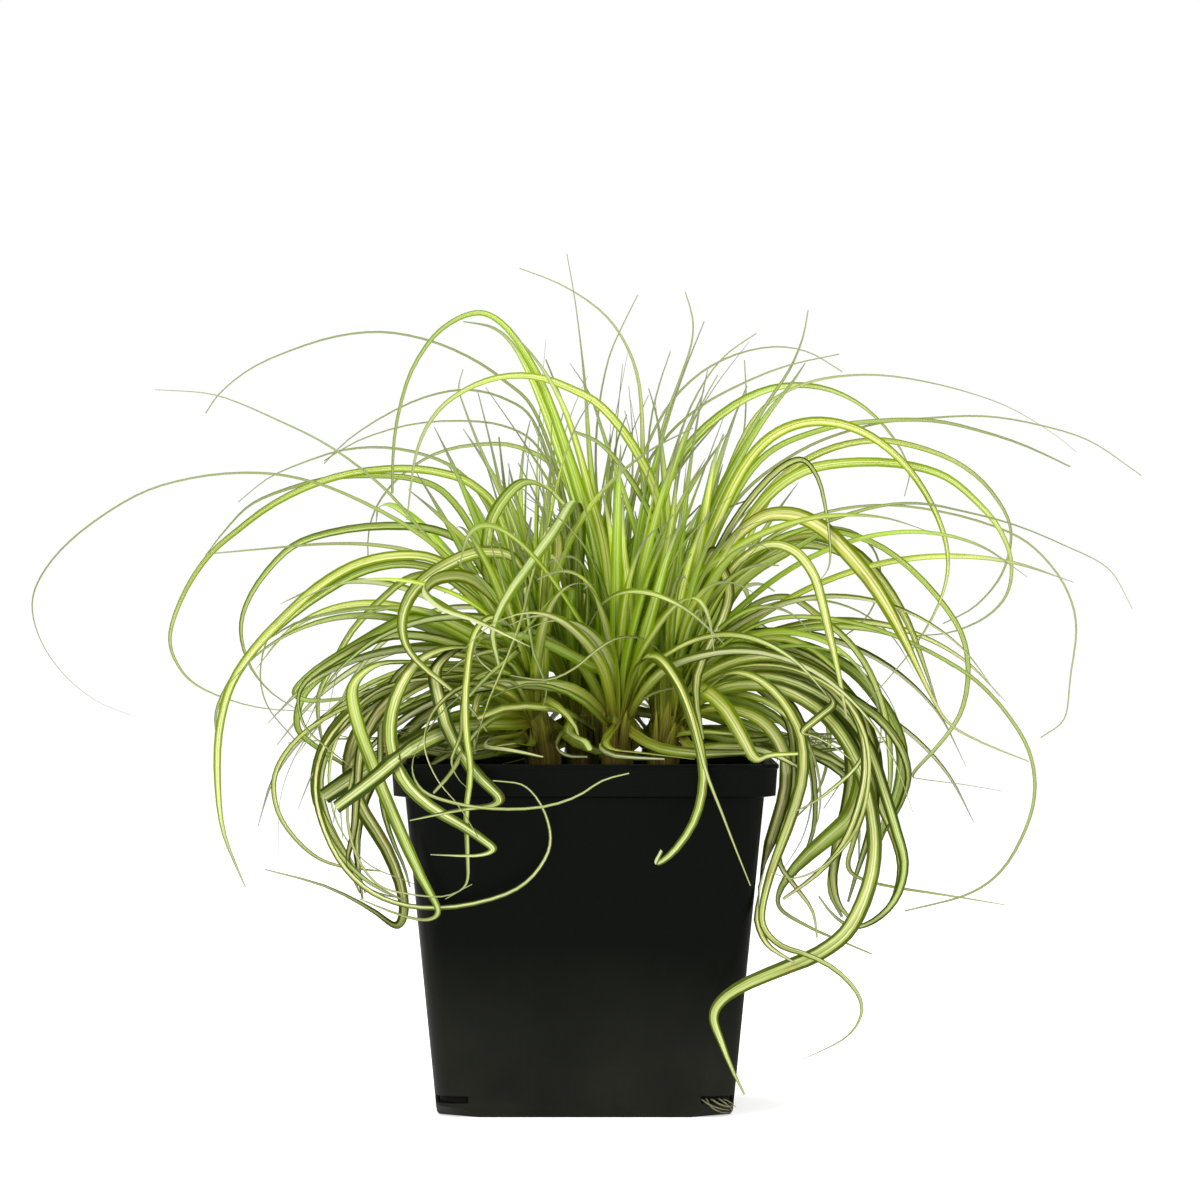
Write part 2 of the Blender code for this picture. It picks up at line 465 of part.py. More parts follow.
def make_pot(group, cutters, finish):
    """A thin moulded shell: a collar with a beaded lip, and a drain slot round each foot corner."""
    outer = pot_sections(0.0, 0.0, POT_HEIGHT - BEAD_HEIGHT)
    outer += [(RIM_HALF + 0.5, CORNER_RADIUS + 0.5, POT_HEIGHT - BEAD_HEIGHT + 0.3),
              (RIM_HALF + 0.5, CORNER_RADIUS + 0.5, POT_HEIGHT - 0.3), (RIM_HALF, CORNER_RADIUS, POT_HEIGHT)]
    outer[0] = (outer[0][0] - 0.8, outer[0][1], 0.0)
    outer.insert(1, (FOOT_HALF, CORNER_RADIUS, 1.0))
    pot = add_object("pot", lofted("pot", outer), group, finish)
    corner_lifts(cutters, 0.0)
    cut(pot, cutters)

    cavity = add_object("cavity", lofted("cavity", pot_sections(WALL, WALL, POT_HEIGHT + 1)), group)
    corner_lifts(cutters, WALL)
    cut(cavity, cutters)
    group.objects.unlink(cavity)
    cutters.objects.link(cavity)
    near, far = FOOT_HALF - SLOT_REACH, FOOT_HALF + 6
    low = FOOT_LIFT + WALL
    for sx in (-1, 1):
        for sy in (-1, 1):
            bm = bmesh.new()
            bmesh.ops.create_cube(bm, size=1)
            bmesh.ops.scale(bm, vec=(far - near, far - near, SLOT_HEIGHT), verts=bm.verts)
            bmesh.ops.translate(bm, vec=(sx * (near + far) / 2, sy * (near + far) / 2, low + SLOT_HEIGHT / 2),
                                verts=bm.verts)
            add_object("slot", mesh_of("slot", bm), cutters)
    cut(pot, cutters)
    pot.data.materials.clear()
    pot.data.materials.append(finish)
    return pot


def make_soil(group, cutters, finish):
    """The root ball: it fills the pot, domes a little, and has a plain hole for each shoot."""
    inset = WALL + GAP
    sections = pot_sections(inset, inset, SOIL_TOP)
    sections = [sections[0], sections[1], sections[2]]
    sections[2] = (sections[2][0] - 0.2, sections[2][1], SOIL_TOP)
    sections.append((sections[1][0] * 0.72, 14.0, SOIL_TOP + SOIL_CROWN * 0.7))
    sections.append((sections[1][0] * 0.4, 10.0, SOIL_TOP + SOIL_CROWN))
    soil = add_object("potting_soil", lofted("potting_soil", sections), group, finish)
    corner_lifts(cutters, inset)
    for (x, y), _ in SHOOTS.values():
        bm = bmesh.new()
        bmesh.ops.create_cone(bm, cap_ends=True, segments=STEM_SIDES, radius1=SHEATH_RADIUS + GAP + 0.15,
                              radius2=SHEATH_RADIUS + GAP + 0.15, depth=HOLE_DEPTH + GAP + 6)
        low = SOIL_TOP - HOLE_DEPTH - GAP
        bmesh.ops.translate(bm, vec=(x, y, low + (HOLE_DEPTH + GAP + 6) / 2), verts=bm.verts)
        add_object("hole", mesh_of("hole", bm), cutters)
    cut(soil, cutters)
    soil.data.materials.clear()
    soil.data.materials.append(finish)
    return soil


# Blades


def smooth_route(points, fewest):
    """A smooth curve through the points, read at steps that shorten where it bends."""
    ends = [2 * points[0] - points[1], *points, 2 * points[-1] - points[-2]]
    fine = []
    for a, b, c, d in zip(ends, ends[1:], ends[2:], ends[3:]):
        for t in np.linspace(0, 1, 8, endpoint=False):
            fine.append(0.5 * (2 * b + (c - a) * t + (2 * a - 5 * b + 4 * c - d) * t ** 2
                               + (3 * b - a - 3 * c + d) * t ** 3))
    fine = np.array([*fine, points[-1]])
    steps = np.diff(fine, axis=0)
    lengths = np.linalg.norm(steps, axis=1)
    ways = steps / lengths[:, None]
    turns = np.arccos(np.clip((ways[1:] * ways[:-1]).sum(axis=1), -1, 1))
    load = lengths / BLADE_STEP + np.concatenate([[0], turns]) / TURN_STEP
    load = np.convolve(load, np.ones(9) / 9, "same") + 1e-6
    spent = np.concatenate([[0], np.cumsum(load)])
    count = int(min(MOST_STEPS, max(fewest, round(spent[-1]))))
    at = np.linspace(0, spent[-1], count + 1)
    along = np.interp(at, spent, np.concatenate([[0], np.cumsum(lengths)]))
    return np.array([np.interp(at, spent, fine[:, axis]) for axis in range(3)]).T, along


def blade_width(share):
    """The share of its full width that a blade has at a share of its length."""
    return min(1.0, 0.38 + 2.7 * share) * (1 - share ** 2.3) ** 1.05


def side_vectors(points, facing, twist):
    """The width direction at each point: carried along the blade, turned to face, then twisted."""
    tangents = np.gradient(points, axis=0)
    tangents /= np.linalg.norm(tangents, axis=1)[:, None]
    side = np.cross(tangents[0], (0.31, 0.95, 0.05))
    sides = []
    for tangent in tangents:
        side = side - tangent * (side @ tangent)
        side = side / np.linalg.norm(side)
        sides.append(side)
    middle = len(points) // 2
    across = np.cross(tangents[middle], facing)
    roll = math.atan2(np.cross(sides[middle], across) @ tangents[middle], sides[middle] @ across)
    turned = []
    for i, (side, tangent) in enumerate(zip(sides, tangents)):
        angle = roll + twist * (i - middle) / len(points)
        turned.append(side * math.cos(angle) + np.cross(tangent, side) * math.sin(angle))
    return np.array(turned), tangents


def blade_mesh(route, width, facing, twist, grow=0.0, fewest=FEWEST_STEPS):
    """Vertices and faces of one keeled blade, three-sided, ending in a point."""
    points, along = smooth_route(route, fewest)
    count, length = len(points) - 1, along[-1]
    sides, tangents = side_vectors(points, facing, twist)
    verts, faces = [], []
    for i in range(count):
        wide = max(LEAST_WIDE, width * blade_width(along[i] / length)) + grow * 2
        deep = max(LEAST_THICK, wide * KEEL_SHARE) + grow
        under = np.cross(sides[i], tangents[i])
        lift = under * deep * -0.35
        verts += [points[i] + sides[i] * wide / 2 + lift, points[i] + under * deep + lift,
                  points[i] - sides[i] * wide / 2 + lift]
    verts.append(points[-1])
    tip = len(verts) - 1
    faces.append((2, 1, 0))
    for i in range(count - 1):
        low, high = 3 * i, 3 * (i + 1)
        for a, b in ((0, 1), (1, 2), (2, 0)):
            faces += [(low + a, low + b, high + b), (low + a, high + b, high + a)]
    last = 3 * (count - 1)
    faces += [(last, last + 1, tip), (last + 1, last + 2, tip), (last + 2, last, tip)]
    return verts, faces, length


def tree_of(verts, faces, skip=0):
    """A search tree of the blade, without the faces of its first rings if skip says so."""
    kept = [f for f in faces if min(f) >= 3 * skip]
    return BVHTree.FromPolygons([Vector(v) for v in verts], kept or faces[-3:])


def crown_at(shoot, z):
    (x, y), (dx, dy) = SHOOTS[shoot]
    share = (z - SHEATH_TOP) / (CROWN_HEIGHT - SHEATH_TOP)
    return np.array((x + dx * share, y + dy * share, z))


def rooted(shoot, first):
    """The two points inside the shoot's stem that every blade starts from, leaning to its side."""
    foot, top = crown_at(shoot, CROWN_HEIGHT - 9), crown_at(shoot, CROWN_HEIGHT - 3)
    away = first - top
    away[2] = 0
    return [foot, top + away / max(np.linalg.norm(away), 1.0) * STEM_RADIUS * 0.75]


def on_sight_line(x, y, z):
    """A point drawn on the front plane, carried along the line of sight to its own depth."""
    share = (y - EYE.y) / (FRONT - EYE.y)
    return np.array((EYE.x + (x - EYE.x) * share, y, EYE.z + (z - EYE.z) * share))


def traced_route(entry, shift):
    shoot, _, middle, tip, drawn = entry
    start = crown_at(shoot, CROWN_HEIGHT)[1]
    depths = np.interp(np.linspace(0, 1, len(drawn)), (-0.12, 0.5, 1), (start, middle, tip))
    bulge = np.minimum(1, np.linspace(0.15, 2.0, len(drawn)))
    route = [on_sight_line(x, y + shift * b, z) for (x, z), y, b in zip(drawn, depths, bulge)]
    return [*rooted(shoot, route[0].copy()), *route]


def fill_route(shoot, kind, draw):
    """One blade by rule: it leaves the crown at a slope, bends over evenly, and wanders sideways."""
    _, slope, length, bend, _ = FILL[kind]
    (x, y), _ = SHOOTS[shoot]
    outward = math.degrees(math.atan2(y - 7, x - 8))
    heading = math.radians(outward + draw.gauss(0, 58))
    rise, reach = draw.uniform(*slope), draw.uniform(*length)
    over, drift = draw.uniform(*bend), draw.gauss(0, 26)
    start = crown_at(shoot, CROWN_HEIGHT + 2)
    points, steps = [start], 7
    for i in range(steps):
        share = (i + 0.5) / steps
        pitch = math.radians(rise - over * share ** 1.15)
        turn = heading + math.radians(drift * share)
        level, up = math.cos(pitch), math.sin(pitch)
        step = np.array((level * math.cos(turn), level * math.sin(turn), up))
        points.append(points[-1] + step * reach / steps)
    return [*rooted(shoot, points[1].copy()), *points[1:]]


def in_habit(route):
    """True where a filling blade keeps within the clump and leaves the pot's front uncovered."""
    for x, y, z in route[2:]:
        parted = y < -25 and abs(x) < PARTED_HALF and z < PARTED_ABOVE
        if parted or math.hypot(x, y) > REACH_LIMIT:
            return False
    return True


class Clump:
    """The blades taken so far, with what each new blade must stay clear of."""

    def __init__(self, solids):
        self.solids = [BVHTree.FromObject(obj, bpy.context.evaluated_depsgraph_get()) for obj in solids]
        self.blades = {name: [] for name in SHOOTS}

    def touches(self, shoot, verts, faces, length):
        """2 where the blade meets another piece, 1 where it only crosses its own shoot, else 0."""
        metres = [Vector(v) * MM for v in verts]
        if any(BVHTree.FromPolygons(metres, faces).overlap(solid) for solid in self.solids):
            return 2
        whole = tree_of(verts, faces)
        for other, blades in self.blades.items():
            if other != shoot and any(whole.overlap(taken) for _, _, taken, _ in blades):
                return 2
        rings = (len(verts) - 1) // 3
        free = tree_of(verts, faces, int(math.ceil(FREE_LENGTH / length * rings)))
        return int(any(free.overlap(outer) for _, _, _, outer in self.blades[shoot]))

    def take(self, shoot, verts, faces, length):
        rings = (len(verts) - 1) // 3
        outer = tree_of(verts, faces, int(math.ceil(FREE_LENGTH / length * rings)))
        self.blades[shoot].append((verts, faces, tree_of(verts, faces), outer))


def try_blade(clump, shoot, width, facing, twist, routes):
    """Takes the first route that is clear of all, or else one that only crosses its own shoot."""
    fallback = None
    for route in routes:
        wide = blade_mesh(route, width, facing, twist, CLEARANCE)
        state = clump.touches(shoot, *wide)
        if state == 0:
            clump.take(shoot, *blade_mesh(route, width, facing, twist))
            return
        if state == 1 and fallback is None:
            fallback = route
    if fallback is not None:
        clump.take(shoot, *blade_mesh(fallback, width, facing, twist))


def grow_clump(solids):
    clump = Clump(solids)
    draw = random.Random(FILL_SEED)
    for entry in TRACED.values():
        tilt = math.radians(draw.uniform(-42, 42))
        facing = np.array((0.0, -math.cos(tilt), math.sin(tilt)))
        twist = math.radians(draw.choice((-1, 1)) * draw.uniform(30, 110))
        routes = [traced_route(entry, shift) for shift in DEPTH_TRIES]
        try_blade(clump, entry[0], entry[1], facing, twist, routes)
    for kind, (count, _, _, _, widths) in FILL.items():
        for i in range(count):
            shoot = FILL_SHOOTS[i % len(FILL_SHOOTS)]
            width = draw.uniform(*widths)
            turn = draw.uniform(-math.pi, math.pi)
            facing = np.array((math.cos(turn), math.sin(turn), 0.7))
            twist = math.radians(draw.uniform(-80, 80))
            routes = [fill_route(shoot, kind, draw) for _ in range(FILL_TRIES)]
            routes = [route for route in routes if in_habit(route)]
            try_blade(clump, shoot, width, facing, twist, routes)
    return clump


def soup_mesh(name, verts, faces):
    mesh = bpy.data.meshes.new(name)
    mesh.from_pydata([tuple(v * MM) for v in verts], [], faces)
    bm = bmesh.new()
    bm.from_mesh(mesh)
    bmesh.ops.recalc_face_normals(bm, faces=bm.faces)
    bm.to_mesh(mesh)
    bm.free()
    return mesh


def keep_main_body(obj):
    """Drops loose scraps and fills sealed hollows: only the largest closed shell stays."""
    bm = bmesh.new()
    bm.from_mesh(obj.data)
    seen, shells = set(), []
    for start in bm.faces:
        if start in seen:
            continue
        seen.add(start)
        shell, queue = [], [start]
        while queue:
            face = queue.pop()
            shell.append(face)
            for edge in face.edges:
                for other in edge.link_faces:
                    if other not in seen:
                        seen.add(other)
                        queue.append(other)
        shells.append(shell)
    shells.sort(key=len)
    bmesh.ops.delete(bm, geom=[face for shell in shells[:-1] for face in shell], context="FACES")
    bm.to_mesh(obj.data)
    bm.free()


def make_sheath(shoot, group, pieces, finish):
    """The shoot's foot: a plug that stands in the soil, wrapped in pointed dry sheaths."""
    x, y = SHOOTS[shoot][0]
    bm = bmesh.new()
    low = SOIL_TOP - HOLE_DEPTH
    bmesh.ops.create_cone(bm, cap_ends=True, segments=STEM_SIDES, radius1=SHEATH_RADIUS * 0.8,
                          radius2=SHEATH_RADIUS, depth=SHEATH_TOP - low)
    bmesh.ops.translate(bm, vec=(x, y, (SHEATH_TOP + low) / 2), verts=bm.verts)
    name = f"sheath_{shoot}"
    sheath = add_object(name, mesh_of(name, bm), group, finish)
    draw = random.Random(f"{shoot} sheath")
    for i in range(SHEATH_SCALES):
        turn = math.tau * (i + draw.uniform(-0.15, 0.15)) / SHEATH_SCALES
        out = np.array((math.cos(turn), math.sin(turn), 0.0))
        top = draw.uniform(132, 139)
        heights = (SHEATH_TOP - 9, SHEATH_TOP - 2, (SHEATH_TOP + top) / 2, top)
        spread = (SHEATH_RADIUS - 1.6, SHEATH_RADIUS - 0.2, SHEATH_RADIUS + 0.2, SHEATH_RADIUS + 1.2)
        route = [crown_at(shoot, max(z, SHEATH_TOP)) * (1, 1, 0) + (0, 0, z) + out * r
                 for z, r in zip(heights, spread)]
        verts, faces, _ = blade_mesh(route, SCALE_WIDTH, out, 0.0, fewest=3)
        add_object("scale", soup_mesh("scale", verts, faces), pieces)
    cut(sheath, pieces, "UNION")
    keep_main_body(sheath)
    return sheath


def make_shoot(shoot, clump, group, pieces, finish):
    """All blades of one shoot, fused to the stem that they grow from."""
    low, high = SHEATH_TOP + GAP, CROWN_HEIGHT + 1
    bm = bmesh.new()
    bmesh.ops.create_cone(bm, cap_ends=True, segments=STEM_SIDES, radius1=STEM_RADIUS,
                          radius2=STEM_RADIUS * 1.3, depth=high - low)
    foot, top = crown_at(shoot, low), crown_at(shoot, high)
    for vert in bm.verts:
        share = 0.5 + vert.co.z / (high - low)
        vert.co.x += foot[0] + (top[0] - foot[0]) * share
        vert.co.y += foot[1] + (top[1] - foot[1]) * share
        vert.co.z += (low + high) / 2
    name = f"shoot_{shoot}"
    stem = add_object(name, mesh_of(name, bm), group, finish)
    for verts, faces, _, _ in clump.blades[shoot]:
        add_object("blade", soup_mesh("blade", verts, faces), pieces)
    cut(stem, pieces, "UNION", "MANIFOLD")
    keep_main_body(stem)
    return stem


def main():
    clear_scene()
    group = collection("potted_sedge")
    cutters = collection("cutters", hidden=True)
    black = material("black_plastic", (0.012, 0.014, 0.012), 0.42)
    earth = material("potting_soil", (0.035, 0.022, 0.014), 0.95)
    brown = material("dry_sheath", (0.16, 0.09, 0.035), 0.7)
    green = material("blade_green", (0.32, 0.44, 0.06), 0.45)
    pot = make_pot(group, cutters, black)
    soil = make_soil(group, cutters, earth)
    sheaths = [make_sheath(shoot, group, cutters, brown) for shoot in SHOOTS]
    clump = grow_clump([pot, soil, *sheaths])
    for shoot in SHOOTS:
        make_shoot(shoot, clump, group, cutters, green)


main()
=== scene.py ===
# Variegated sedge in a square nursery pot: the looks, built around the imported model.
# Metres, +Z up, the pot's foot on z = 0 and its front towards -Y. Values named in capitals are
# in millimetres and degrees unless their comment says otherwise.

from collections import namedtuple
import math
import random

import bmesh
import bpy
import numpy as np
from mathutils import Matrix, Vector
from mathutils.bvhtree import BVHTree


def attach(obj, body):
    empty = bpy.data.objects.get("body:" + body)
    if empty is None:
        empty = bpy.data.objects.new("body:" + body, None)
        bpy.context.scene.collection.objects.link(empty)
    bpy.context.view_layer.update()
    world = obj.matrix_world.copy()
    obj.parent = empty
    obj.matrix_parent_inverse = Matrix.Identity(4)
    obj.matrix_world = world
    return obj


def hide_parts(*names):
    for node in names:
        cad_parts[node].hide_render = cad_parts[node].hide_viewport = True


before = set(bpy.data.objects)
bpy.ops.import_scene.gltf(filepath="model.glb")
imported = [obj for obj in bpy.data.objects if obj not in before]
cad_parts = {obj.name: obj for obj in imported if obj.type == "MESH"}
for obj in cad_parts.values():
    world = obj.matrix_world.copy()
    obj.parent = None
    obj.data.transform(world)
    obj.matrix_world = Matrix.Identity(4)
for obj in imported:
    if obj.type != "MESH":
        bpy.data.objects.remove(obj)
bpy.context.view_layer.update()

MM = 0.001


# Camera
# A long lens on a stand a little above the pot's rim, two metres in front of the plant,
# level and square to the pot's front.

EYE = Vector((5.2, -2100.0, 176.0))
SENSOR_WIDTH = 36
LENS = 180.8

camera = bpy.data.objects.new("camera", bpy.data.cameras.new("camera"))
camera.location = EYE * MM
camera.rotation_euler = (math.radians(90), 0, 0)
camera.data.sensor_width = SENSOR_WIDTH
camera.data.lens = LENS
bpy.context.scene.collection.objects.link(camera)
bpy.context.scene.camera = camera


# Nursery pot
# One thin injection moulding in recycled black polypropylene: four tapering walls, a stepped
# collar with a beaded lip, and a drain slot moulded round each lifted corner of the foot.

POT_HEIGHT = 120.5
RIM_HALF = 65.4
COLLAR_HALF = 64.8
COLLAR_DROP = 11.5
COLLAR_STEP = 0.6
BODY_TOP_HALF = 61.0
FOOT_HALF = 50.6
FOOT_EDGE_IN = 0.8
FOOT_EDGE_UP = 1.0
CORNER_RADIUS = 10.0
CORNER_STEPS = 9
WALL = 1.4
INSIDE_STEP_RISE = 0.8
BEAD_HEIGHT = 1.8
BEAD_OUT = 0.5
BEAD_EDGE = 0.3
FOOT_LIFT = 3.4
FOOT_LIFT_START = 60.5
FOOT_LIFT_END = 65.5
INSIDE_LIFT_LEAN = 0.2
SLOT_HEIGHT = 2.4
SLOT_REACH = 11.0
CUT_PAST = 6.0
CUT_HALF = 60.0
MOULD_EDGE = 0.35
MOULD_EDGE_ANGLE = 38
SHARP_ANGLE = 32
QUARTERS = [math.radians(45 + 90 * quarter) for quarter in range(4)]

PLASTIC_DEEP = (0.0005, 0.0009, 0.0003)
PLASTIC_SHEEN = (0.0012, 0.0017, 0.0008)
PLASTIC_STREAK = (0.0022, 0.0028, 0.0015)
# The painted reflection of the pale floor on the pot's foot
PLASTIC_FLOOR_REFLECTION = (0.022, 0.023, 0.016)
STREAK_STRETCH = (260.0, 260.0, 9.0)
STREAK_SHARE = 0.35
# How strong the painted reflection of the pale floor is at the foot, and how it changes with height
FLOOR_REFLECTION_AT_FOOT = 0.95
FLOOR_REFLECTION_LOSS_PER_METRE = -16.0


def add_object(name, mesh):
    obj = bpy.data.objects.new(name, mesh)
    bpy.context.scene.collection.objects.link(obj)
    return obj


def dress(obj, finish):
    obj.data.materials.clear()
    obj.data.materials.append(finish)


def mesh_of(name, bm):
    """Closes the edit: scales millimetres to metres and turns the faces outwards."""
    bmesh.ops.recalc_face_normals(bm, faces=bm.faces)
    bmesh.ops.scale(bm, vec=(MM, MM, MM), verts=bm.verts)
    mesh = bpy.data.meshes.new(name)
    bm.to_mesh(mesh)
    bm.free()
    return mesh


def applied(obj):
    """Turns the object with its modifiers into a plain mesh on the same object."""
    bpy.context.view_layer.update()
    graph = bpy.context.evaluated_depsgraph_get()
    done = bpy.data.meshes.new_from_object(obj.evaluated_get(graph))
    obj.modifiers.clear()
    obj.data = done
    return obj


def cut(obj, cutters):
    """Takes the cutters' shapes out of the object, and the cutters out of the scene."""
    for cutter in cutters:
        modifier = obj.modifiers.new("cut", "BOOLEAN")
        modifier.operation = "DIFFERENCE"
        modifier.solver = "EXACT"
        modifier.object = cutter
    applied(obj)
    for cutter in cutters:
        bpy.data.objects.remove(cutter)


def square_ring(bm, half, corner, z):
    """A square with rounded corners, as one ring of vertices in order."""
    ring = []
    for middle in QUARTERS:
        centre = Vector((math.copysign(half - corner, math.cos(middle)),
                         math.copysign(half - corner, math.sin(middle)), z))
        for step in range(CORNER_STEPS + 1):
            turn = middle + math.radians(90) * (step / CORNER_STEPS - 0.5)
            ring.append(bm.verts.new(centre + corner * Vector((math.cos(turn), math.sin(turn), 0))))
    return ring


def lofted(name, sections):
    """A closed body through square rings of (half width, corner radius, height)."""
    bm = bmesh.new()
    rings = [square_ring(bm, *section) for section in sections]
    for low, high in zip(rings, rings[1:]):
        for i, vert in enumerate(low):
            j = (i + 1) % len(low)
            bm.faces.new((vert, low[j], high[j], high[i]))
    bm.faces.new(rings[0])
    bm.faces.new(rings[-1])
    return mesh_of(name, bm)


def pot_sections(inset, floor, top):
    """The pot's outline moved inwards by inset, from its floor to its top."""
    corner = CORNER_RADIUS - inset
    collar = POT_HEIGHT - COLLAR_DROP + inset * INSIDE_STEP_RISE
    taper = (BODY_TOP_HALF - FOOT_HALF) / (POT_HEIGHT - COLLAR_DROP)
    return [
        (FOOT_HALF - inset + taper * floor, corner, floor),
        (BODY_TOP_HALF - inset, corner, collar),
        (COLLAR_HALF - inset, corner, collar + COLLAR_STEP),
        (RIM_HALF - inset, corner, top),
    ]


def outer_sections():
    """The outside of the pot: its outline with a rounded foot edge and a bead along the rim."""
    sections = pot_sections(0.0, 0.0, POT_HEIGHT - BEAD_HEIGHT)
    sections[0] = (FOOT_HALF - FOOT_EDGE_IN, CORNER_RADIUS, 0.0)
    sections.insert(1, (FOOT_HALF, CORNER_RADIUS, FOOT_EDGE_UP))
    for out, height in ((BEAD_OUT, POT_HEIGHT - BEAD_HEIGHT + BEAD_EDGE),
                        (BEAD_OUT, POT_HEIGHT - BEAD_EDGE), (0.0, POT_HEIGHT)):
        sections.append((RIM_HALF + out, CORNER_RADIUS + out, height))
    return sections


def corner_lifts(rise):
    """A wedge under each foot corner: the foot is lifted off the ground there."""
    past, lifted, lean = FOOT_HALF * 2, FOOT_LIFT + rise, rise * INSIDE_LIFT_LEAN
    outline = [(FOOT_LIFT_START - CUT_PAST, -CUT_PAST), (FOOT_LIFT_START + lean, rise),
               (FOOT_LIFT_END + lean, lifted), (past, lifted), (past, -CUT_PAST)]
    wedges = []
    for turn in QUARTERS:
        out = Vector((math.cos(turn), math.sin(turn), 0))
        side = Vector((-math.sin(turn), math.cos(turn), 0))
        bm = bmesh.new()
        face = bm.faces.new([bm.verts.new(out * d - side * CUT_HALF + Vector((0, 0, z)))
                             for d, z in outline])
        grown = bmesh.ops.extrude_face_region(bm, geom=[face])["geom"]
        bmesh.ops.translate(bm, vec=side * CUT_HALF * 2,
                            verts=[g for g in grown if isinstance(g, bmesh.types.BMVert)])
        wedges.append(add_object("lift", mesh_of("lift", bm)))
    return wedges


def drain_slots():
    """A flat block through each lifted corner, just above the pot's floor."""
    near, far = FOOT_HALF - SLOT_REACH, FOOT_HALF + CUT_PAST
    middle, height = (near + far) / 2, FOOT_LIFT + WALL + SLOT_HEIGHT / 2
    slots = []
    for sx, sy in ((-1, -1), (-1, 1), (1, -1), (1, 1)):
        bm = bmesh.new()
        bmesh.ops.create_cube(bm, size=1)
        bmesh.ops.scale(bm, vec=(far - near, far - near, SLOT_HEIGHT), verts=bm.verts)
        bmesh.ops.translate(bm, vec=(sx * middle, sy * middle, height), verts=bm.verts)
        slots.append(add_object("slot", mesh_of("slot", bm)))
    return slots


moulded_pot = add_object("moulded_pot", lofted("moulded_pot", outer_sections()))
cut(moulded_pot, corner_lifts(0.0))
cavity = add_object("cavity", lofted("cavity", pot_sections(WALL, WALL, POT_HEIGHT + 1)))
cut(cavity, corner_lifts(WALL))
cut(moulded_pot, [cavity, *drain_slots()])
edges = moulded_pot.modifiers.new("mould_edges", "BEVEL")
edges.width = MOULD_EDGE * MM
edges.segments = 2
edges.limit_method = "ANGLE"
edges.angle_limit = math.radians(MOULD_EDGE_ANGLE)
edges.harden_normals = True
applied(moulded_pot)
moulded_pot.data.shade_smooth()
moulded_pot.data.set_sharp_from_angle(angle=math.radians(SHARP_ANGLE))


def feed(tree, socket, value):
    """Links another socket to this one, or sets its plain value. A colour gets its alpha here."""
    if isinstance(value, bpy.types.NodeSocket):
        tree.links.new(value, socket)
    elif socket.type == "RGBA":
        socket.default_value = (*value, 1.0)
    else:
        socket.default_value = value


def add_node(tree, kind, inputs=None, **settings):
    """A new node with its settings, and its inputs fed by their name or number."""
    made = tree.nodes.new(kind)
    for name, value in settings.items():
        setattr(made, name, value)
    for key, value in (inputs or {}).items():
        feed(tree, made.inputs[key], value)
    return made


def add_socket(tree, name, way="INPUT", kind="NodeSocketFloat", value=None):
    """A named input or output of a whole tree, by its identifier."""
    made = tree.interface.new_socket(name=name, in_out=way, socket_type=kind)
    if value is not None:
        made.default_value = value
    return made.identifier


def group_node(tree, group, inputs):
    return add_node(tree, "ShaderNodeGroup", inputs, node_tree=group).outputs


def object_place(tree):
    return add_node(tree, "ShaderNodeTexCoord").outputs["Object"]


def split(tree, place):
    return add_node(tree, "ShaderNodeSeparateXYZ", {0: place}).outputs


def maths(tree, operation, *values, clamp=False):
    made = add_node(tree, "ShaderNodeMath", dict(enumerate(values)), operation=operation, use_clamp=clamp)
    return made.outputs[0]


def mix(tree, share, low, high, blend="MIX"):
    """A colour mix; share, low and high are sockets or plain values."""
    made = add_node(tree, "ShaderNodeMix", {0: share, 6: low, 7: high},
                    data_type="RGBA", blend_type=blend)
    return made.outputs[2]


def multiply(tree, base, shade, share=1.0):
    return mix(tree, share, base, shade, "MULTIPLY")


def ramp(tree, source, stops):
    """A colour ramp over the source value, from (place, colour) stops."""
    made = add_node(tree, "ShaderNodeValToRGB", {"Fac": source})
    points = made.color_ramp.elements
    while len(points) < len(stops):
        points.new(0.5)
    for point, (place, colour) in zip(points, stops):
        point.position = place
        point.color = (*colour, 1.0)
    return made.outputs["Color"]


def grey_ramp(tree, source, *stops):
    """A mask over the source value, from (place, grey) stops."""
    return ramp(tree, source, [(place, (grey, grey, grey)) for place, grey in stops])


def bump(tree, shader, height, strength, distance):
    made = add_node(tree, "ShaderNodeBump", {
        "Strength": strength, "Distance": distance, "Height": height})
    feed(tree, shader.inputs["Normal"], made.outputs["Normal"])


def new_material(name, roughness, specular):
    made = bpy.data.materials.new(name)
    made.use_nodes = True
    shader = made.node_tree.nodes["Principled BSDF"]
    shader.inputs["Roughness"].default_value = roughness
    shader.inputs["Specular IOR Level"].default_value = specular
    return made, made.node_tree, shader


def fine_grain_group():
    """Soft patches over a fine tooth: a height for bump and a mask, on Object coordinates."""
    group = bpy.data.node_groups.new("fine_grain", "ShaderNodeTree")
    add_socket(group, "Tooth Scale", value=900.0)
    add_socket(group, "Patch Scale", value=40.0)
    add_socket(group, "Height", "OUTPUT")
    add_socket(group, "Patches", "OUTPUT")
    given, place = add_node(group, "NodeGroupInput").outputs, object_place(group)
    tooth = add_node(group, "ShaderNodeTexNoise", {
        "Vector": place, "Scale": given["Tooth Scale"], "Detail": 3})
    patch = add_node(group, "ShaderNodeTexNoise", {
        "Vector": place, "Scale": given["Patch Scale"], "Detail": 5})
    add_node(group, "NodeGroupOutput", {
        "Height": tooth.outputs["Fac"], "Patches": patch.outputs["Fac"]})
    return group


fine_grain = fine_grain_group()


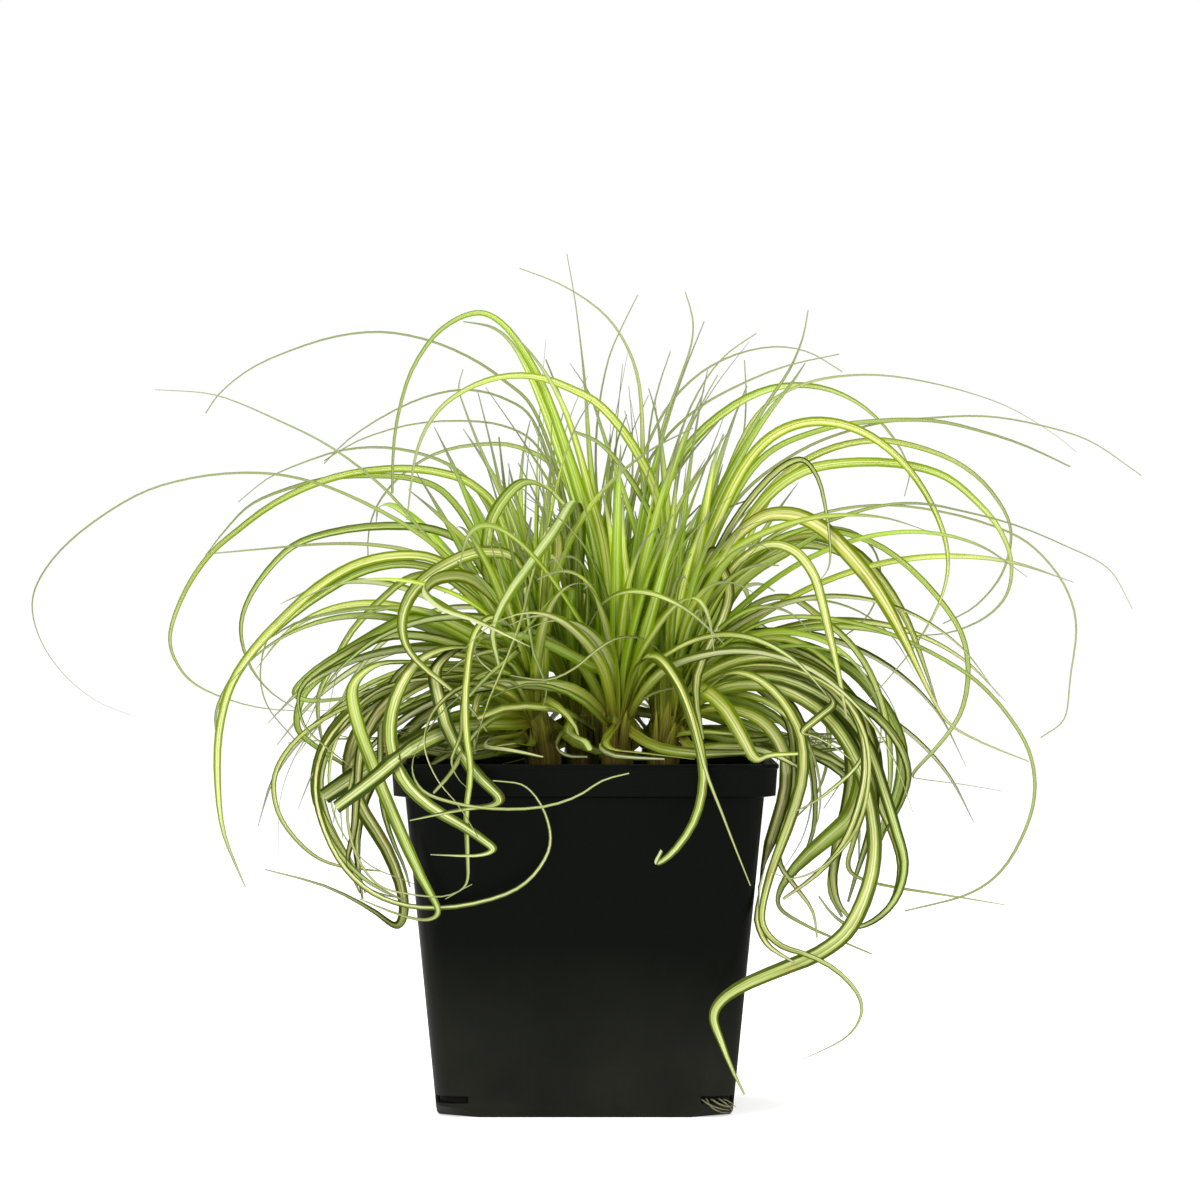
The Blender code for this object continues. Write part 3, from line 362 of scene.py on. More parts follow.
def pot_plastic():
    """Black plastic with an olive tint: a fine tooth, cloudy sheen, and a painted reflection of the pale
    floor that lightens and roughens the foot.
    """
    made, tree, shader = new_material("pot_plastic", roughness=0.4, specular=0.04)
    grain = group_node(tree, fine_grain, {"Tooth Scale": 1500.0, "Patch Scale": 28.0})
    place = object_place(tree)
    stretch = add_node(tree, "ShaderNodeMapping", {"Vector": place, "Scale": STREAK_STRETCH})
    streaks = add_node(tree, "ShaderNodeTexNoise", {"Vector": stretch.outputs["Vector"], "Scale": 1.0})
    # Painted reflection of the pale floor: lighter in patches near the foot, fading out about six
    # centimetres up
    low = maths(tree, "MULTIPLY_ADD", split(tree, place)["Z"], FLOOR_REFLECTION_LOSS_PER_METRE, FLOOR_REFLECTION_AT_FOOT,
                clamp=True)
    floor_reflection = maths(tree, "MULTIPLY", low, grain["Patches"], clamp=True)
    base = mix(tree, grain["Patches"], PLASTIC_DEEP, PLASTIC_SHEEN)
    faint = maths(tree, "MULTIPLY", streaks.outputs["Fac"], STREAK_SHARE)
    base = mix(tree, faint, base, PLASTIC_STREAK)
    feed(tree, shader.inputs["Base Color"], mix(tree, floor_reflection, base, PLASTIC_FLOOR_REFLECTION))
    rough = maths(tree, "MULTIPLY_ADD", grain["Patches"], 0.22, 0.30)
    feed(tree, shader.inputs["Roughness"], maths(tree, "MULTIPLY_ADD", floor_reflection, 0.25, rough))
    bump(tree, shader, grain["Height"], strength=0.25, distance=0.0001)
    return made


dress(moulded_pot, pot_plastic())
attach(moulded_pot, "root")
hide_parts("pot")


# Potting soil
# Moist peat compost with wood fibre, filled to a finger's width below the rim and settled in
# a low dome. Crumbs of peat and a few pale fibres lie loose over its top.

SOIL_TOP_LEAST = 110.4
SOIL_TOP_FACING = 0.3
# Crumbs to the square metre, their least and most size and their unevenness in metres
CRUMB_DENSITY = 260000.0
CRUMB_SIZES = (0.0004, 0.0017)
CRUMB_UNEVEN = 0.0011
CRUMB_NOISE_SCALE = 900.0
CRUMB_SEED = 5

PEAT = [(0.30, (0.010, 0.006, 0.004)), (0.55, (0.034, 0.021, 0.012)), (0.75, (0.075, 0.047, 0.026))]
CRUMB_PEAT = [(0.0, (0.012, 0.008, 0.005)), (0.6, (0.045, 0.027, 0.015)),
              (0.90, (0.10, 0.060, 0.030)), (0.97, (0.24, 0.17, 0.10))]
CRUMB_PEAT_SHARE = 0.62
DARKER_BELOW = ((0.2, 0.06), (1.0, 1.0))


def stored(tree, geometry, name, value, domain="POINT"):
    """The geometry with the value kept on it as a float attribute."""
    made = add_node(tree, "GeometryNodeStoreNamedAttribute", {
        "Geometry": geometry, "Name": name, "Value": value}, data_type="FLOAT", domain=domain)
    return made.outputs["Geometry"]


def point_place(tree):
    return add_node(tree, "GeometryNodeInputPosition").outputs["Position"]


def tree_sockets(tree, inputs):
    """The tree's Geometry in and out, and its named (kind, value) inputs by their identifiers."""
    add_socket(tree, "Geometry", kind="NodeSocketGeometry")
    made = {name: add_socket(tree, name, kind=kind, value=value)
            for name, (kind, value) in inputs.items()}
    add_socket(tree, "Geometry", "OUTPUT", "NodeSocketGeometry")
    return made


def finished(tree, geometry, finish):
    """The end of a tree: the geometry wears the finish and leaves the tree."""
    worn = add_node(tree, "GeometryNodeSetMaterial", {"Geometry": geometry, "Material": finish})
    add_node(tree, "NodeGroupOutput", {"Geometry": worn.outputs["Geometry"]})


def crumb_tree():
    """Scatters broken crumbs over a surface, each turned, sized and shaded by chance."""
    tree = bpy.data.node_groups.new("crumbs", "GeometryNodeTree")
    sockets = tree_sockets(tree, {
        "Density": ("NodeSocketFloat", 1000.0), "Least Size": ("NodeSocketFloat", 0.001),
        "Most Size": ("NodeSocketFloat", 0.002), "Seed": ("NodeSocketInt", 1),
        "Finish": ("NodeSocketMaterial", None)})
    given = add_node(tree, "NodeGroupInput").outputs
    spread = add_node(tree, "GeometryNodeDistributePointsOnFaces", {
        "Mesh": given["Geometry"], "Density": given["Density"], "Seed": given["Seed"]})
    crumb = add_node(tree, "GeometryNodeMeshIcoSphere", {"Radius": 1.0, "Subdivisions": 1})
    turn = add_node(tree, "FunctionNodeRandomValue", {
        "Max": (math.tau, math.tau, math.tau)}, data_type="FLOAT_VECTOR")
    size = add_node(tree, "FunctionNodeRandomValue", {
        2: given["Least Size"], 3: given["Most Size"], "Seed": given["Seed"]}, data_type="FLOAT")
    lay = add_node(tree, "GeometryNodeInstanceOnPoints", {
        "Points": spread.outputs["Points"], "Instance": crumb.outputs["Mesh"],
        "Rotation": turn.outputs["Value"], "Scale": size.outputs[1]})
    shade = add_node(tree, "FunctionNodeRandomValue", data_type="FLOAT")
    kept = stored(tree, lay.outputs["Instances"], "shade", shade.outputs[1], "INSTANCE")
    real = add_node(tree, "GeometryNodeRealizeInstances", {"Geometry": kept})
    noise = add_node(tree, "ShaderNodeTexNoise", {
        "Vector": point_place(tree), "Scale": CRUMB_NOISE_SCALE})
    centred = add_node(tree, "ShaderNodeVectorMath", {
        0: noise.outputs["Color"], 1: (0.5, 0.5, 0.5)}, operation="SUBTRACT")
    shift = add_node(tree, "ShaderNodeVectorMath", {
        0: centred.outputs[0], "Scale": CRUMB_UNEVEN}, operation="SCALE")
    broken = add_node(tree, "GeometryNodeSetPosition", {
        "Geometry": real.outputs["Geometry"], "Offset": shift.outputs[0]})
    finished(tree, broken.outputs["Geometry"], given["Finish"])
    return tree, sockets


def run_tree(obj, tree, sockets, inputs):
    """Runs the tree over the object with its named inputs set, down to a plain mesh."""
    modifier = obj.modifiers.new(tree.name, "NODES")
    modifier.node_group = tree
    for name, value in inputs.items():
        modifier[sockets[name]] = value
    applied(obj)


def attribute_value(tree, name):
    return add_node(tree, "ShaderNodeAttribute", attribute_name=name).outputs["Fac"]


def peat(name, from_crumbs):
    """Dark brown peat in darker and lighter patches, darker lower down, with rusty and pale fibre specks."""
    made, tree, shader = new_material(name, roughness=0.95, specular=0.2)
    grain = group_node(tree, fine_grain, {"Tooth Scale": 700.0, "Patch Scale": 160.0})
    base = ramp(tree, grain["Patches"], PEAT)
    if from_crumbs:
        own = ramp(tree, attribute_value(tree, "shade"), CRUMB_PEAT)
        base = mix(tree, CRUMB_PEAT_SHARE, base, own)
    decimetres = maths(tree, "MULTIPLY", split(tree, object_place(tree))["Z"], 10.0)
    # Darker lower down in the pot
    lower_darkening = grey_ramp(tree, decimetres, *DARKER_BELOW)
    feed(tree, shader.inputs["Base Color"], multiply(tree, base, lower_darkening))
    bump(tree, shader, grain["Height"], strength=0.8, distance=0.0006)
    return made


def soil_top(mesh, name):
    """The faces of the soil's top, as a surface of their own."""
    bm = bmesh.new()
    bm.from_mesh(mesh)
    bmesh.ops.remove_doubles(bm, verts=bm.verts, dist=0.00001)
    bmesh.ops.delete(bm, context="FACES", geom=[
        face for face in bm.faces
        if face.normal.z < SOIL_TOP_FACING or face.calc_center_median().z < SOIL_TOP_LEAST * MM])
    top = bpy.data.meshes.new(name)
    bm.to_mesh(top)
    bm.free()
    return top


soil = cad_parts["potting_soil"]
dress(soil, peat("peat", False))

soil_crumbs = add_object("soil_crumbs", soil_top(soil.data, "soil_crumbs"))
run_tree(soil_crumbs, *crumb_tree(), {
    "Density": CRUMB_DENSITY, "Least Size": CRUMB_SIZES[0], "Most Size": CRUMB_SIZES[1],
    "Seed": CRUMB_SEED, "Finish": peat("peat_crumbs", True)})
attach(soil_crumbs, "root")


# Dry sheaths
# The lowest leaf of each shoot dies back to a papery brown sheath that wraps the shoot's foot.
# They grow from the crown in the soil, overlap in a spiral, and fray into fibres at their tips.

# Each shoot's foot (x, y), and how far it leans up to its crown
SHOOTS = {
    "left": ((-14.0, -6.0), (-3.0, -1.0)),
    "middle": ((11.0, -8.0), (0.5, -1.0)),
    "right": ((27.0, -4.0), (2.5, -0.5)),
    "inner": ((-1.0, 8.0), (-1.0, 0.5)),
    "rear_left": ((-16.0, 17.0), (-3.0, 2.0)),
    "rear": ((8.0, 24.0), (0.0, 3.0)),
    "rear_right": ((25.0, 14.0), (3.0, 1.5)),
}
CROWN_HEIGHT = 136.0
SHEATH_FOOT = 99.0
SHEATH_FOOT_CLEAR = 0.2
SHEATH_TOP = 122.0
SHEATH_RADIUS = 5.4
SHEATH_SCALES = 5
SCALE_TURN_SPREAD = 0.15
SCALE_CHANNEL = 0.22
SCALE_THICKNESS = 0.13
# How far below the sheath's top the first two points of a scale or fibre lie, how high its tip
# may reach, how far it stands off the round foot from end to end, and how wide it is
OUTER_SCALE = ((9, 2), (132, 139), (-1.6, -0.2, 0.2, 1.2), 5.2)
INNER_SCALE = ((9, 1), (134, 146), (-2.4, -1.0, -1.1, -0.6), 6.4)
FIBRE_LOW = (8, 0)
FIBRE_TOPS = (126, 143)
FIBRE_FLARE = (-0.6, 0.1)
FIBRE_LOOSE = ((0.2, 1.0), (1.0, 4.0))
FIBRE_WIDTH = 0.5
FIBRES = 16

# A path is read at steps that shorten where it bends: the length and the turn in radians that
# make one step, and the fewest and most steps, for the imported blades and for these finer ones
BLADE_STEP = 36.0
TURN_STEP = 0.52
FEWEST_STEPS = 5
MOST_STEPS = 14
LOAD_SPREAD = 9
FINE_STEP = 4.2
FEWEST_FINE = 14
# How much of a packed blade's twist shows, the width of the thinnest tip, the angle that stays
# sharp, and how far out across its section a leaf turns upwards
TWIST_SHARE = 0.7
TIP_WIDE = 0.22
CREASE = 24
CHANNEL_EDGE = 0.6

SHEATH_BROWN = [(0.0, (0.060, 0.042, 0.008)), (0.45, (0.13, 0.105, 0.014)),
                (0.75, (0.22, 0.21, 0.022)), (1.0, (0.36, 0.40, 0.035))]
SHEATH_FIBRE = [(0.35, (0.35, 0.30, 0.26)), (0.65, (1.0, 1.0, 1.0))]
LINE_SHIFT = 80.0


def crown_at(shoot, z):
    (x, y), (dx, dy) = SHOOTS[shoot]
    share = (z - SHEATH_TOP) / (CROWN_HEIGHT - SHEATH_TOP)
    return np.array((x + dx * share, y + dy * share, z))


def named_value(tree, name, kind):
    made = add_node(tree, "GeometryNodeInputNamedAttribute", {"Name": name}, data_type=kind)
    return made.outputs["Attribute"]


def blade_tree():
    """Sweeps a channelled leaf section along paths, and keeps where each point lies across it."""
    tree = bpy.data.node_groups.new("blades", "GeometryNodeTree")
    sockets = tree_sockets(tree, {
        "Channel Depth": ("NodeSocketFloat", 0.20), "Thickness": ("NodeSocketFloat", 0.15),
        "Section Points": ("NodeSocketInt", 10), "Finish": ("NodeSocketMaterial", None)})
    given = add_node(tree, "NodeGroupInput").outputs
    path = add_node(tree, "GeometryNodeMeshToCurve", {"Mesh": given["Geometry"]})
    turned = add_node(tree, "GeometryNodeSetCurveNormal", {
        "Curve": path.outputs["Curve"], "Normal": named_value(tree, "lie", "FLOAT_VECTOR")}, mode="FREE")

    ring = add_node(tree, "GeometryNodeCurvePrimitiveCircle", {
        "Radius": 0.5, "Resolution": given["Section Points"]})
    place = split(tree, point_place(tree))
    across = maths(tree, "MULTIPLY", place["X"], 2.0)
    section = stored(tree, ring.outputs["Curve"], "across", across)
    section = stored(tree, section, "upper", maths(tree, "MULTIPLY", place["Y"], 2.0))
    hollow = maths(tree, "SUBTRACT", maths(tree, "ABSOLUTE", across), CHANNEL_EDGE)
    hollow = maths(tree, "MULTIPLY", hollow, given["Channel Depth"])
    flat = maths(tree, "MULTIPLY", place["Y"], given["Thickness"])
    shape = add_node(tree, "ShaderNodeCombineXYZ", {
        "X": place["X"], "Y": maths(tree, "ADD", hollow, flat)})
    section = add_node(tree, "GeometryNodeSetPosition", {
        "Geometry": section, "Position": shape.outputs["Vector"]})

    sweep = add_node(tree, "GeometryNodeCurveToMesh", {
        "Curve": turned.outputs["Curve"], "Profile Curve": section.outputs["Geometry"],
        "Scale": named_value(tree, "wide", "FLOAT"), "Fill Caps": True})
    real = add_node(tree, "GeometryNodeRealizeInstances", {"Geometry": sweep.outputs["Mesh"]})
    finished(tree, real.outputs["Geometry"], given["Finish"])
    return tree, sockets


blade_nodes, blade_sockets = blade_tree()


def path_mesh(name, paths):
    """Bare edges along all the paths, with each path's facts on its points."""
    points, edges = [], []
    facts = {key: [] for key in ("lie", "wide", "along", "reach", "age", "tint")}
    for path in paths:
        first, count = len(points), len(path["points"])
        points += [tuple(p * MM) for p in path["points"]]
        edges += [(first + i, first + i + 1) for i in range(count - 1)]
        facts["lie"] += [tuple(side) for side in path["sides"]]
        facts["wide"] += list(path["widths"] * MM)
        facts["along"] += list(path["along"] / path["along"][-1])
        facts["reach"] += list(path["along"] * MM)
        facts["age"] += [path["age"]] * count
        facts["tint"] += [path["tint"]] * count
    mesh = bpy.data.meshes.new(name)
    mesh.from_pydata(points, edges, [])
    for key, values in facts.items():
        kind, member = ("FLOAT_VECTOR", "vector") if key == "lie" else ("FLOAT", "value")
        kept = mesh.attributes.new(key, kind, "POINT")
        kept.data.foreach_set(member, np.array(values, np.float32).ravel())
    return mesh


def swept(name, paths, finish, channel, thickness, section_points=10):
    """One plain mesh of all the paths' blades. A path holds points, sides, widths and its facts."""
    obj = add_object(name, path_mesh(name, paths))
    run_tree(obj, blade_nodes, blade_sockets, {
        "Channel Depth": channel, "Thickness": thickness, "Section Points": section_points,
        "Finish": finish})
    obj.data.shade_smooth()
    obj.data.set_sharp_from_angle(angle=math.radians(CREASE))
    return obj


def dense_route(points):
    """A smooth curve through the points, with the load that its bends and length put on it."""
    ends = [2 * points[0] - points[1], *points, 2 * points[-1] - points[-2]]
    fine = []
    for a, b, c, d in zip(ends, ends[1:], ends[2:], ends[3:]):
        for t in np.linspace(0, 1, 8, endpoint=False):
            fine.append(0.5 * (2 * b + (c - a) * t + (2 * a - 5 * b + 4 * c - d) * t ** 2
                               + (3 * b - a - 3 * c + d) * t ** 3))
    fine = np.array([*fine, points[-1]])
    steps = np.diff(fine, axis=0)
    lengths = np.linalg.norm(steps, axis=1)
    ways = steps / lengths[:, None]
    turns = np.arccos(np.clip((ways[1:] * ways[:-1]).sum(axis=1), -1, 1))
    load = lengths / BLADE_STEP + np.concatenate([[0], turns]) / TURN_STEP
    load = np.convolve(load, np.ones(LOAD_SPREAD) / LOAD_SPREAD, "same") + 1e-6
    return fine, np.concatenate([[0], np.cumsum(load)]), np.concatenate([[0], np.cumsum(lengths)])


def read_at(fine, spent, along, at):
    points = np.array([np.interp(at, spent, fine[:, axis]) for axis in range(3)]).T
    return points, np.interp(at, spent, along)


def smooth_route(points, fewest):
    """The curve read at steps that shorten where it bends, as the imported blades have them."""
    fine, spent, along = dense_route(points)
    count = int(min(MOST_STEPS, max(fewest, round(spent[-1]))))
    at = np.linspace(0, spent[-1], count + 1)
    return (*read_at(fine, spent, along, at), at)


def tangents_of(points):
    tangents = np.gradient(points, axis=0)
    return tangents / np.linalg.norm(tangents, axis=1)[:, None]


def side_vectors(points, facing, twist):
    """The width direction at each point: carried along the blade, turned to face, then twisted."""
    tangents = tangents_of(points)
    side = np.cross(tangents[0], (0.31, 0.95, 0.05))
    sides = []
    for tangent in tangents:
        side = side - tangent * (side @ tangent)
        side = side / np.linalg.norm(side)
        sides.append(side)
    middle = len(points) // 2
    across = np.cross(tangents[middle], facing)
    roll = math.atan2(np.cross(sides[middle], across) @ tangents[middle], sides[middle] @ across)
    turned = []
    for i, (side, tangent) in enumerate(zip(sides, tangents)):
        angle = roll + twist * (i - middle) / len(points)
        turned.append(side * math.cos(angle) + np.cross(tangent, side) * math.sin(angle))
    return np.array(turned), tangents


def full_width(share, widths):
    """The width at a share of the length: read from a list along the blade, or by its habit."""
    if isinstance(widths, tuple):
        return np.interp(share, np.linspace(0, 1, len(widths)), widths)
    return widths * np.minimum(1.0, 0.6 + 1.9 * share) * (1 - share ** 2.6) ** 0.95


def fine_path(route, widths, facing, twist, age, tint, fewest=FEWEST_STEPS, step=FINE_STEP):
    """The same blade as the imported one, read finely: its points, sides, widths and facts.
    Its channel opens towards facing."""
    rough, _, rough_at = smooth_route(route, fewest)
    rough_sides, _ = side_vectors(rough, -facing, twist * TWIST_SHARE)
    fine, spent, along = dense_route(route)
    at = np.linspace(0, spent[-1], int(max(FEWEST_FINE, along[-1] / step)))
    points, reached = read_at(fine, spent, along, at)
    tangents = tangents_of(points)
    sides = np.array([np.interp(at, rough_at, rough_sides[:, axis]) for axis in range(3)]).T
    sides -= tangents * (sides * tangents).sum(axis=1)[:, None]
    sides /= np.linalg.norm(sides, axis=1)[:, None]
    wide = np.maximum(TIP_WIDE, full_width(reached / reached[-1], widths))
    return {"points": points, "sides": sides, "widths": wide, "along": reached, "age": age, "tint": tint}


def post_path(points, widths, along, age, tint):
    """A plain upright path, as a round post."""
    sides = np.tile((1.0, 0.0, 0.0), (len(points), 1))
    return {"points": points, "sides": sides, "widths": widths, "along": along, "age": age, "tint": tint}


def fine_lines_group():
    """Lines that run along a blade, from its across, reach and tint attributes."""
    group = bpy.data.node_groups.new("fine_lines", "ShaderNodeTree")
    add_socket(group, "Lines", value=9.0)
    add_socket(group, "Run", value=25.0)
    add_socket(group, "Height", "OUTPUT")
    given = add_node(group, "NodeGroupInput").outputs
    place = add_node(group, "ShaderNodeCombineXYZ", {
        "X": maths(group, "MULTIPLY", attribute_value(group, "across"), given["Lines"]),
        "Y": maths(group, "MULTIPLY", attribute_value(group, "reach"), given["Run"]),
        "Z": maths(group, "MULTIPLY", attribute_value(group, "tint"), LINE_SHIFT)})
    noise = add_node(group, "ShaderNodeTexNoise", {
        "Vector": place.outputs["Vector"], "Scale": 1.0, "Detail": 2})
    add_node(group, "NodeGroupOutput", {"Height": noise.outputs["Fac"]})
    return group


fine_lines = fine_lines_group()


def lines_along(tree, lines, run):
    return group_node(tree, fine_lines, {"Lines": lines, "Run": run})["Height"]


def dry_sheath():
    """Papery leaf base: reddish brown at the foot, olive straw at the tip, with darker fibres."""
    made, tree, shader = new_material("dry_sheath", roughness=0.7, specular=0.12)
    fibres = lines_along(tree, lines=7.0, run=30.0)
    base = ramp(tree, attribute_value(tree, "along"), SHEATH_BROWN)
    base = multiply(tree, base, ramp(tree, fibres, SHEATH_FIBRE), 0.8)
    feed(tree, shader.inputs["Base Color"], base)
    bump(tree, shader, fibres, strength=0.6, distance=0.0003)
    return made


def sheath_path(shoot, turn, low, top, flare, width, age, tint):
    """A scale or fibre that rises beside the round foot, towards turn, from low up to top."""
    heights = (SHEATH_TOP - low[0], SHEATH_TOP - low[1], (SHEATH_TOP + top) / 2, top)
    out = np.array((math.cos(turn), math.sin(turn), 0.0))
    route = [crown_at(shoot, max(z, SHEATH_TOP)) * (1, 1, 0) + (0, 0, z) + out * (SHEATH_RADIUS + far)
             for z, far in zip(heights, flare)]
    return fine_path(route, width, -out, 0.0, age, tint, fewest=3, step=2.0)


def sheath_paths(shoot):
    draw, extra = random.Random(f"{shoot} sheath"), random.Random(f"{shoot} inner sheath")
    paths = []
    for i in range(SHEATH_SCALES):
        turn = math.tau * (i + draw.uniform(-SCALE_TURN_SPREAD, SCALE_TURN_SPREAD)) / SHEATH_SCALES
        low, tops, flare, width = OUTER_SCALE
        top = draw.uniform(*tops)
        paths.append(sheath_path(shoot, turn, low, top, flare, width, 1.0, extra.random()))
        inner_turn = turn + math.pi / SHEATH_SCALES
        low, tops, flare, width = INNER_SCALE
        top = extra.uniform(*tops)
        paths.append(sheath_path(shoot, inner_turn, low, top, flare, width, 0.5, extra.random()))
    for _ in range(FIBRES):
        turn, top = extra.uniform(0, math.tau), extra.uniform(*FIBRE_TOPS)
        flare = (*FIBRE_FLARE, *(extra.uniform(*loose) for loose in FIBRE_LOOSE))
        paths.append(sheath_path(shoot, turn, FIBRE_LOW, top, flare, FIBRE_WIDTH, 1.0, extra.random()))
    return paths


def plug_path(shoot):
    """The round foot under the scales, as one thick path standing in the soil's hole."""
    levels = np.linspace(SHEATH_FOOT + SHEATH_FOOT_CLEAR, SHEATH_TOP, 12)
    points = np.array([(*SHOOTS[shoot][0], z) for z in levels])
    widths = np.interp(levels, (SHEATH_FOOT, SHEATH_TOP - 4, SHEATH_TOP), (8.6, 10.4, 8.0))
    return post_path(points, widths, levels - SHEATH_FOOT, 1.0, 0.5)


def joined(name, pieces):
    """Joins plain meshes into the first one's object."""
    first = pieces[0]
    bm = bmesh.new()
    for piece in pieces:
        bm.from_mesh(piece.data)
    for piece in pieces[1:]:
        bpy.data.objects.remove(piece)
    bm.to_mesh(first.data)
    bm.free()
    first.name = name
    first.data.name = name
    return first


sheath_finish = dry_sheath()
for shoot in SHOOTS:
    scales = swept(f"scales_{shoot}", sheath_paths(shoot), sheath_finish, SCALE_CHANNEL, SCALE_THICKNESS)
    plug = swept(f"plug_{shoot}", [plug_path(shoot)], sheath_finish, 0.0, 1.0, 18)
    wrap = joined(f"wrap_{shoot}", [scales, plug])
    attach(wrap, "root")
    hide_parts(f"sheath_{shoot}")


# Root tips
# A few pale roots have grown out through the drain slot at the front right corner. They curl
# down in front of the slot and end just above the ground.

# Each root's width and its course from inside the slot to its tip
ROOT_TIPS = [
    (0.6, [(39.8, -46.5, 6.2), (40.0, -50.6, 6.0), (42.6, -52.2, 4.4), (46.0, -52.4, 3.2),
           (49.0, -52.0, 2.6)]),
    (0.7, [(42.4, -46.0, 5.9), (43.4, -50.4, 6.0), (46.0, -51.8, 4.6), (48.6, -51.6, 3.8),
           (50.8, -51.2, 4.2)]),
    (0.6, [(44.8, -45.0, 6.1), (46.0, -49.8, 6.1), (48.2, -51.0, 4.6), (50.0, -50.4, 2.6),
           (49.4, -50.4, 1.2)]),
    (0.5, [(41.0, -46.4, 6.3), (41.4, -50.6, 6.3), (43.2, -52.4, 3.6), (46.4, -52.8, 2.0),
           (48.8, -52.2, 1.8)]),
    (0.5, [(46.6, -44.4, 5.9), (47.6, -48.8, 6.0), (49.4, -50.2, 5.2), (51.4, -49.8, 3.6)]),
]
ROOT_TAPER = (1.0, 1.0, 0.8, 0.4)
ROOT_STEP = 0.5
# Cream along the root, with painted shade at its foot inside the drain slot
ROOT_CREAM_AND_SLOT_SHADE = [(0.0, (0.07, 0.06, 0.03)), (0.6, (0.20, 0.19, 0.10)), (1.0, (0.16, 0.15, 0.08))]
ROOT_STAIN = [(0.40, (0.45, 0.38, 0.28)), (0.62, (1.0, 1.0, 1.0))]


def root_skin():
    """Cream root, dark with painted shade towards its foot inside the drain slot, with a browner tip and
    fine rings of soil stain.
    """
    made, tree, shader = new_material("root_skin", roughness=0.7, specular=0.15)
    # Painted shade: dark where the root starts inside the drain slot, cream out in front of it
    base = ramp(tree, attribute_value(tree, "along"), ROOT_CREAM_AND_SLOT_SHADE)
    stain = ramp(tree, lines_along(tree, lines=2.0, run=900.0), ROOT_STAIN)
    feed(tree, shader.inputs["Base Color"], multiply(tree, base, stain, 0.8))
    return made


root_paths = []
for width, route in ROOT_TIPS:
    route = [np.array(point) for point in route]
    widths = tuple(width * share for share in ROOT_TAPER)
    forwards = np.array((0.0, -1.0, 0.0))
    root_paths.append(fine_path(route, widths, forwards, 0.0, 1.0, width, step=ROOT_STEP))
roots = swept("root_tips", root_paths, root_skin(), 0.0, 1.0, 8)
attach(roots, "root")


# Leaf tufts
# Seven tufts of long, thin channelled blades. Each blade grows from the crown inside its sheaths,
# arches over under its own weight and tapers to a hair; the older ones hang low and turn cream.

STEM_FOOT = 122.4
STEM_RADIUS = 3.7
STEM_HEAD = 3.0
# Where in the stem a blade starts, as a share of its radius, and a leaf's section: how deep its
# channel is and how thick it is, as shares of its width, and how many points go round it
BLADE_ROOT = 0.75
CHANNEL = 0.20
THICKNESS = 0.07
SECTION_POINTS = 12
# The plane at the pot's front on which the routes are drawn
FRONT = -65.0

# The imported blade's own section, and how far blades keep clear of each other
KEEL_SHARE = 0.27
LEAST_THICK = 0.65
LEAST_WIDE = 0.9
FREE_LENGTH = 42.0
CLEARANCE = 0.35
DEPTH_TRIES = (0, 4, -4, 8, -8, 12, -12, 17, -17, 22, -22, 28, -28)

# How a blade's age follows from its mean height, where it isn't given: 0 is young, 1 is old
YOUNG_ABOVE = 200.0
AGE_FALL = 66.0
AGE_SPREAD = 0.16
AGE_SEED = 7

# The leaf's colours from young to old: channel, sides and margins
LEAF_PALE = [(0.0, (0.51, 0.64, 0.060)), (0.45, (0.56, 0.61, 0.20)), (1.0, (0.57, 0.58, 0.30))]
LEAF_SIDE = [(0.0, (0.37, 0.51, 0.018)), (0.45, (0.36, 0.42, 0.055)), (1.0, (0.25, 0.275, 0.040))]
LEAF_MARGIN = [(0.0, (0.23, 0.36, 0.005)), (0.45, (0.13, 0.19, 0.005)), (1.0, (0.032, 0.046, 0.002))]
LEAF_UNDER = [(0.15, (0.20, 0.26, 0.040)), (0.60, (0.50, 0.54, 0.30))]
# Its far half, painted midrib crease shade, veins, chance tint, hair-thin end, painted foot shade, and
# stains
FAR_SIDE = (0.45, 0.51, 0.21)
FAR_PALE = (0.61, 0.63, 0.37)
# Painted shade along the midrib's crease
MIDRIB_CREASE_SHADE = [(0.03, (0.62, 0.66, 0.40)), (0.10, (1, 1, 1))]
VEINS = [(0.48, (1, 1, 1)), (0.56, (0.50, 0.60, 0.30))]
TINTS = [(0.0, (0.74, 0.83, 0.60)), (0.5, (1.0, 1.0, 1.0)), (1.0, (1.12, 1.05, 1.0))]
HAIR_GREY = (0.18, 0.20, 0.11)
# Painted shade at a blade's foot, deep in the crown
FOOT_SHADE_OLIVE = [(0.35, (0.075, 0.070, 0.006)), (0.65, (0.24, 0.24, 0.020))]
STAIN_BROWN = (0.19, 0.085, 0.025)
# Where they lie: across from the middle (0) to the edge (1), along the reach, and by width
CHANNEL_FADE = ((0.36, 1), (0.46, 0))
MARGIN_FADE = ((0.63, 0), (0.73, 1))
FAR_FADE = ((0.25, 0), (0.9, 1))
FOOT_SHADE_FADE = ((0.24, 1), (0.80, 0))
STAIN_FADE = ((0.64, 0), (0.72, 0.8))
HAIR_BELOW = (-850.0, 1.75)
AGEING = (22.0, -0.25)

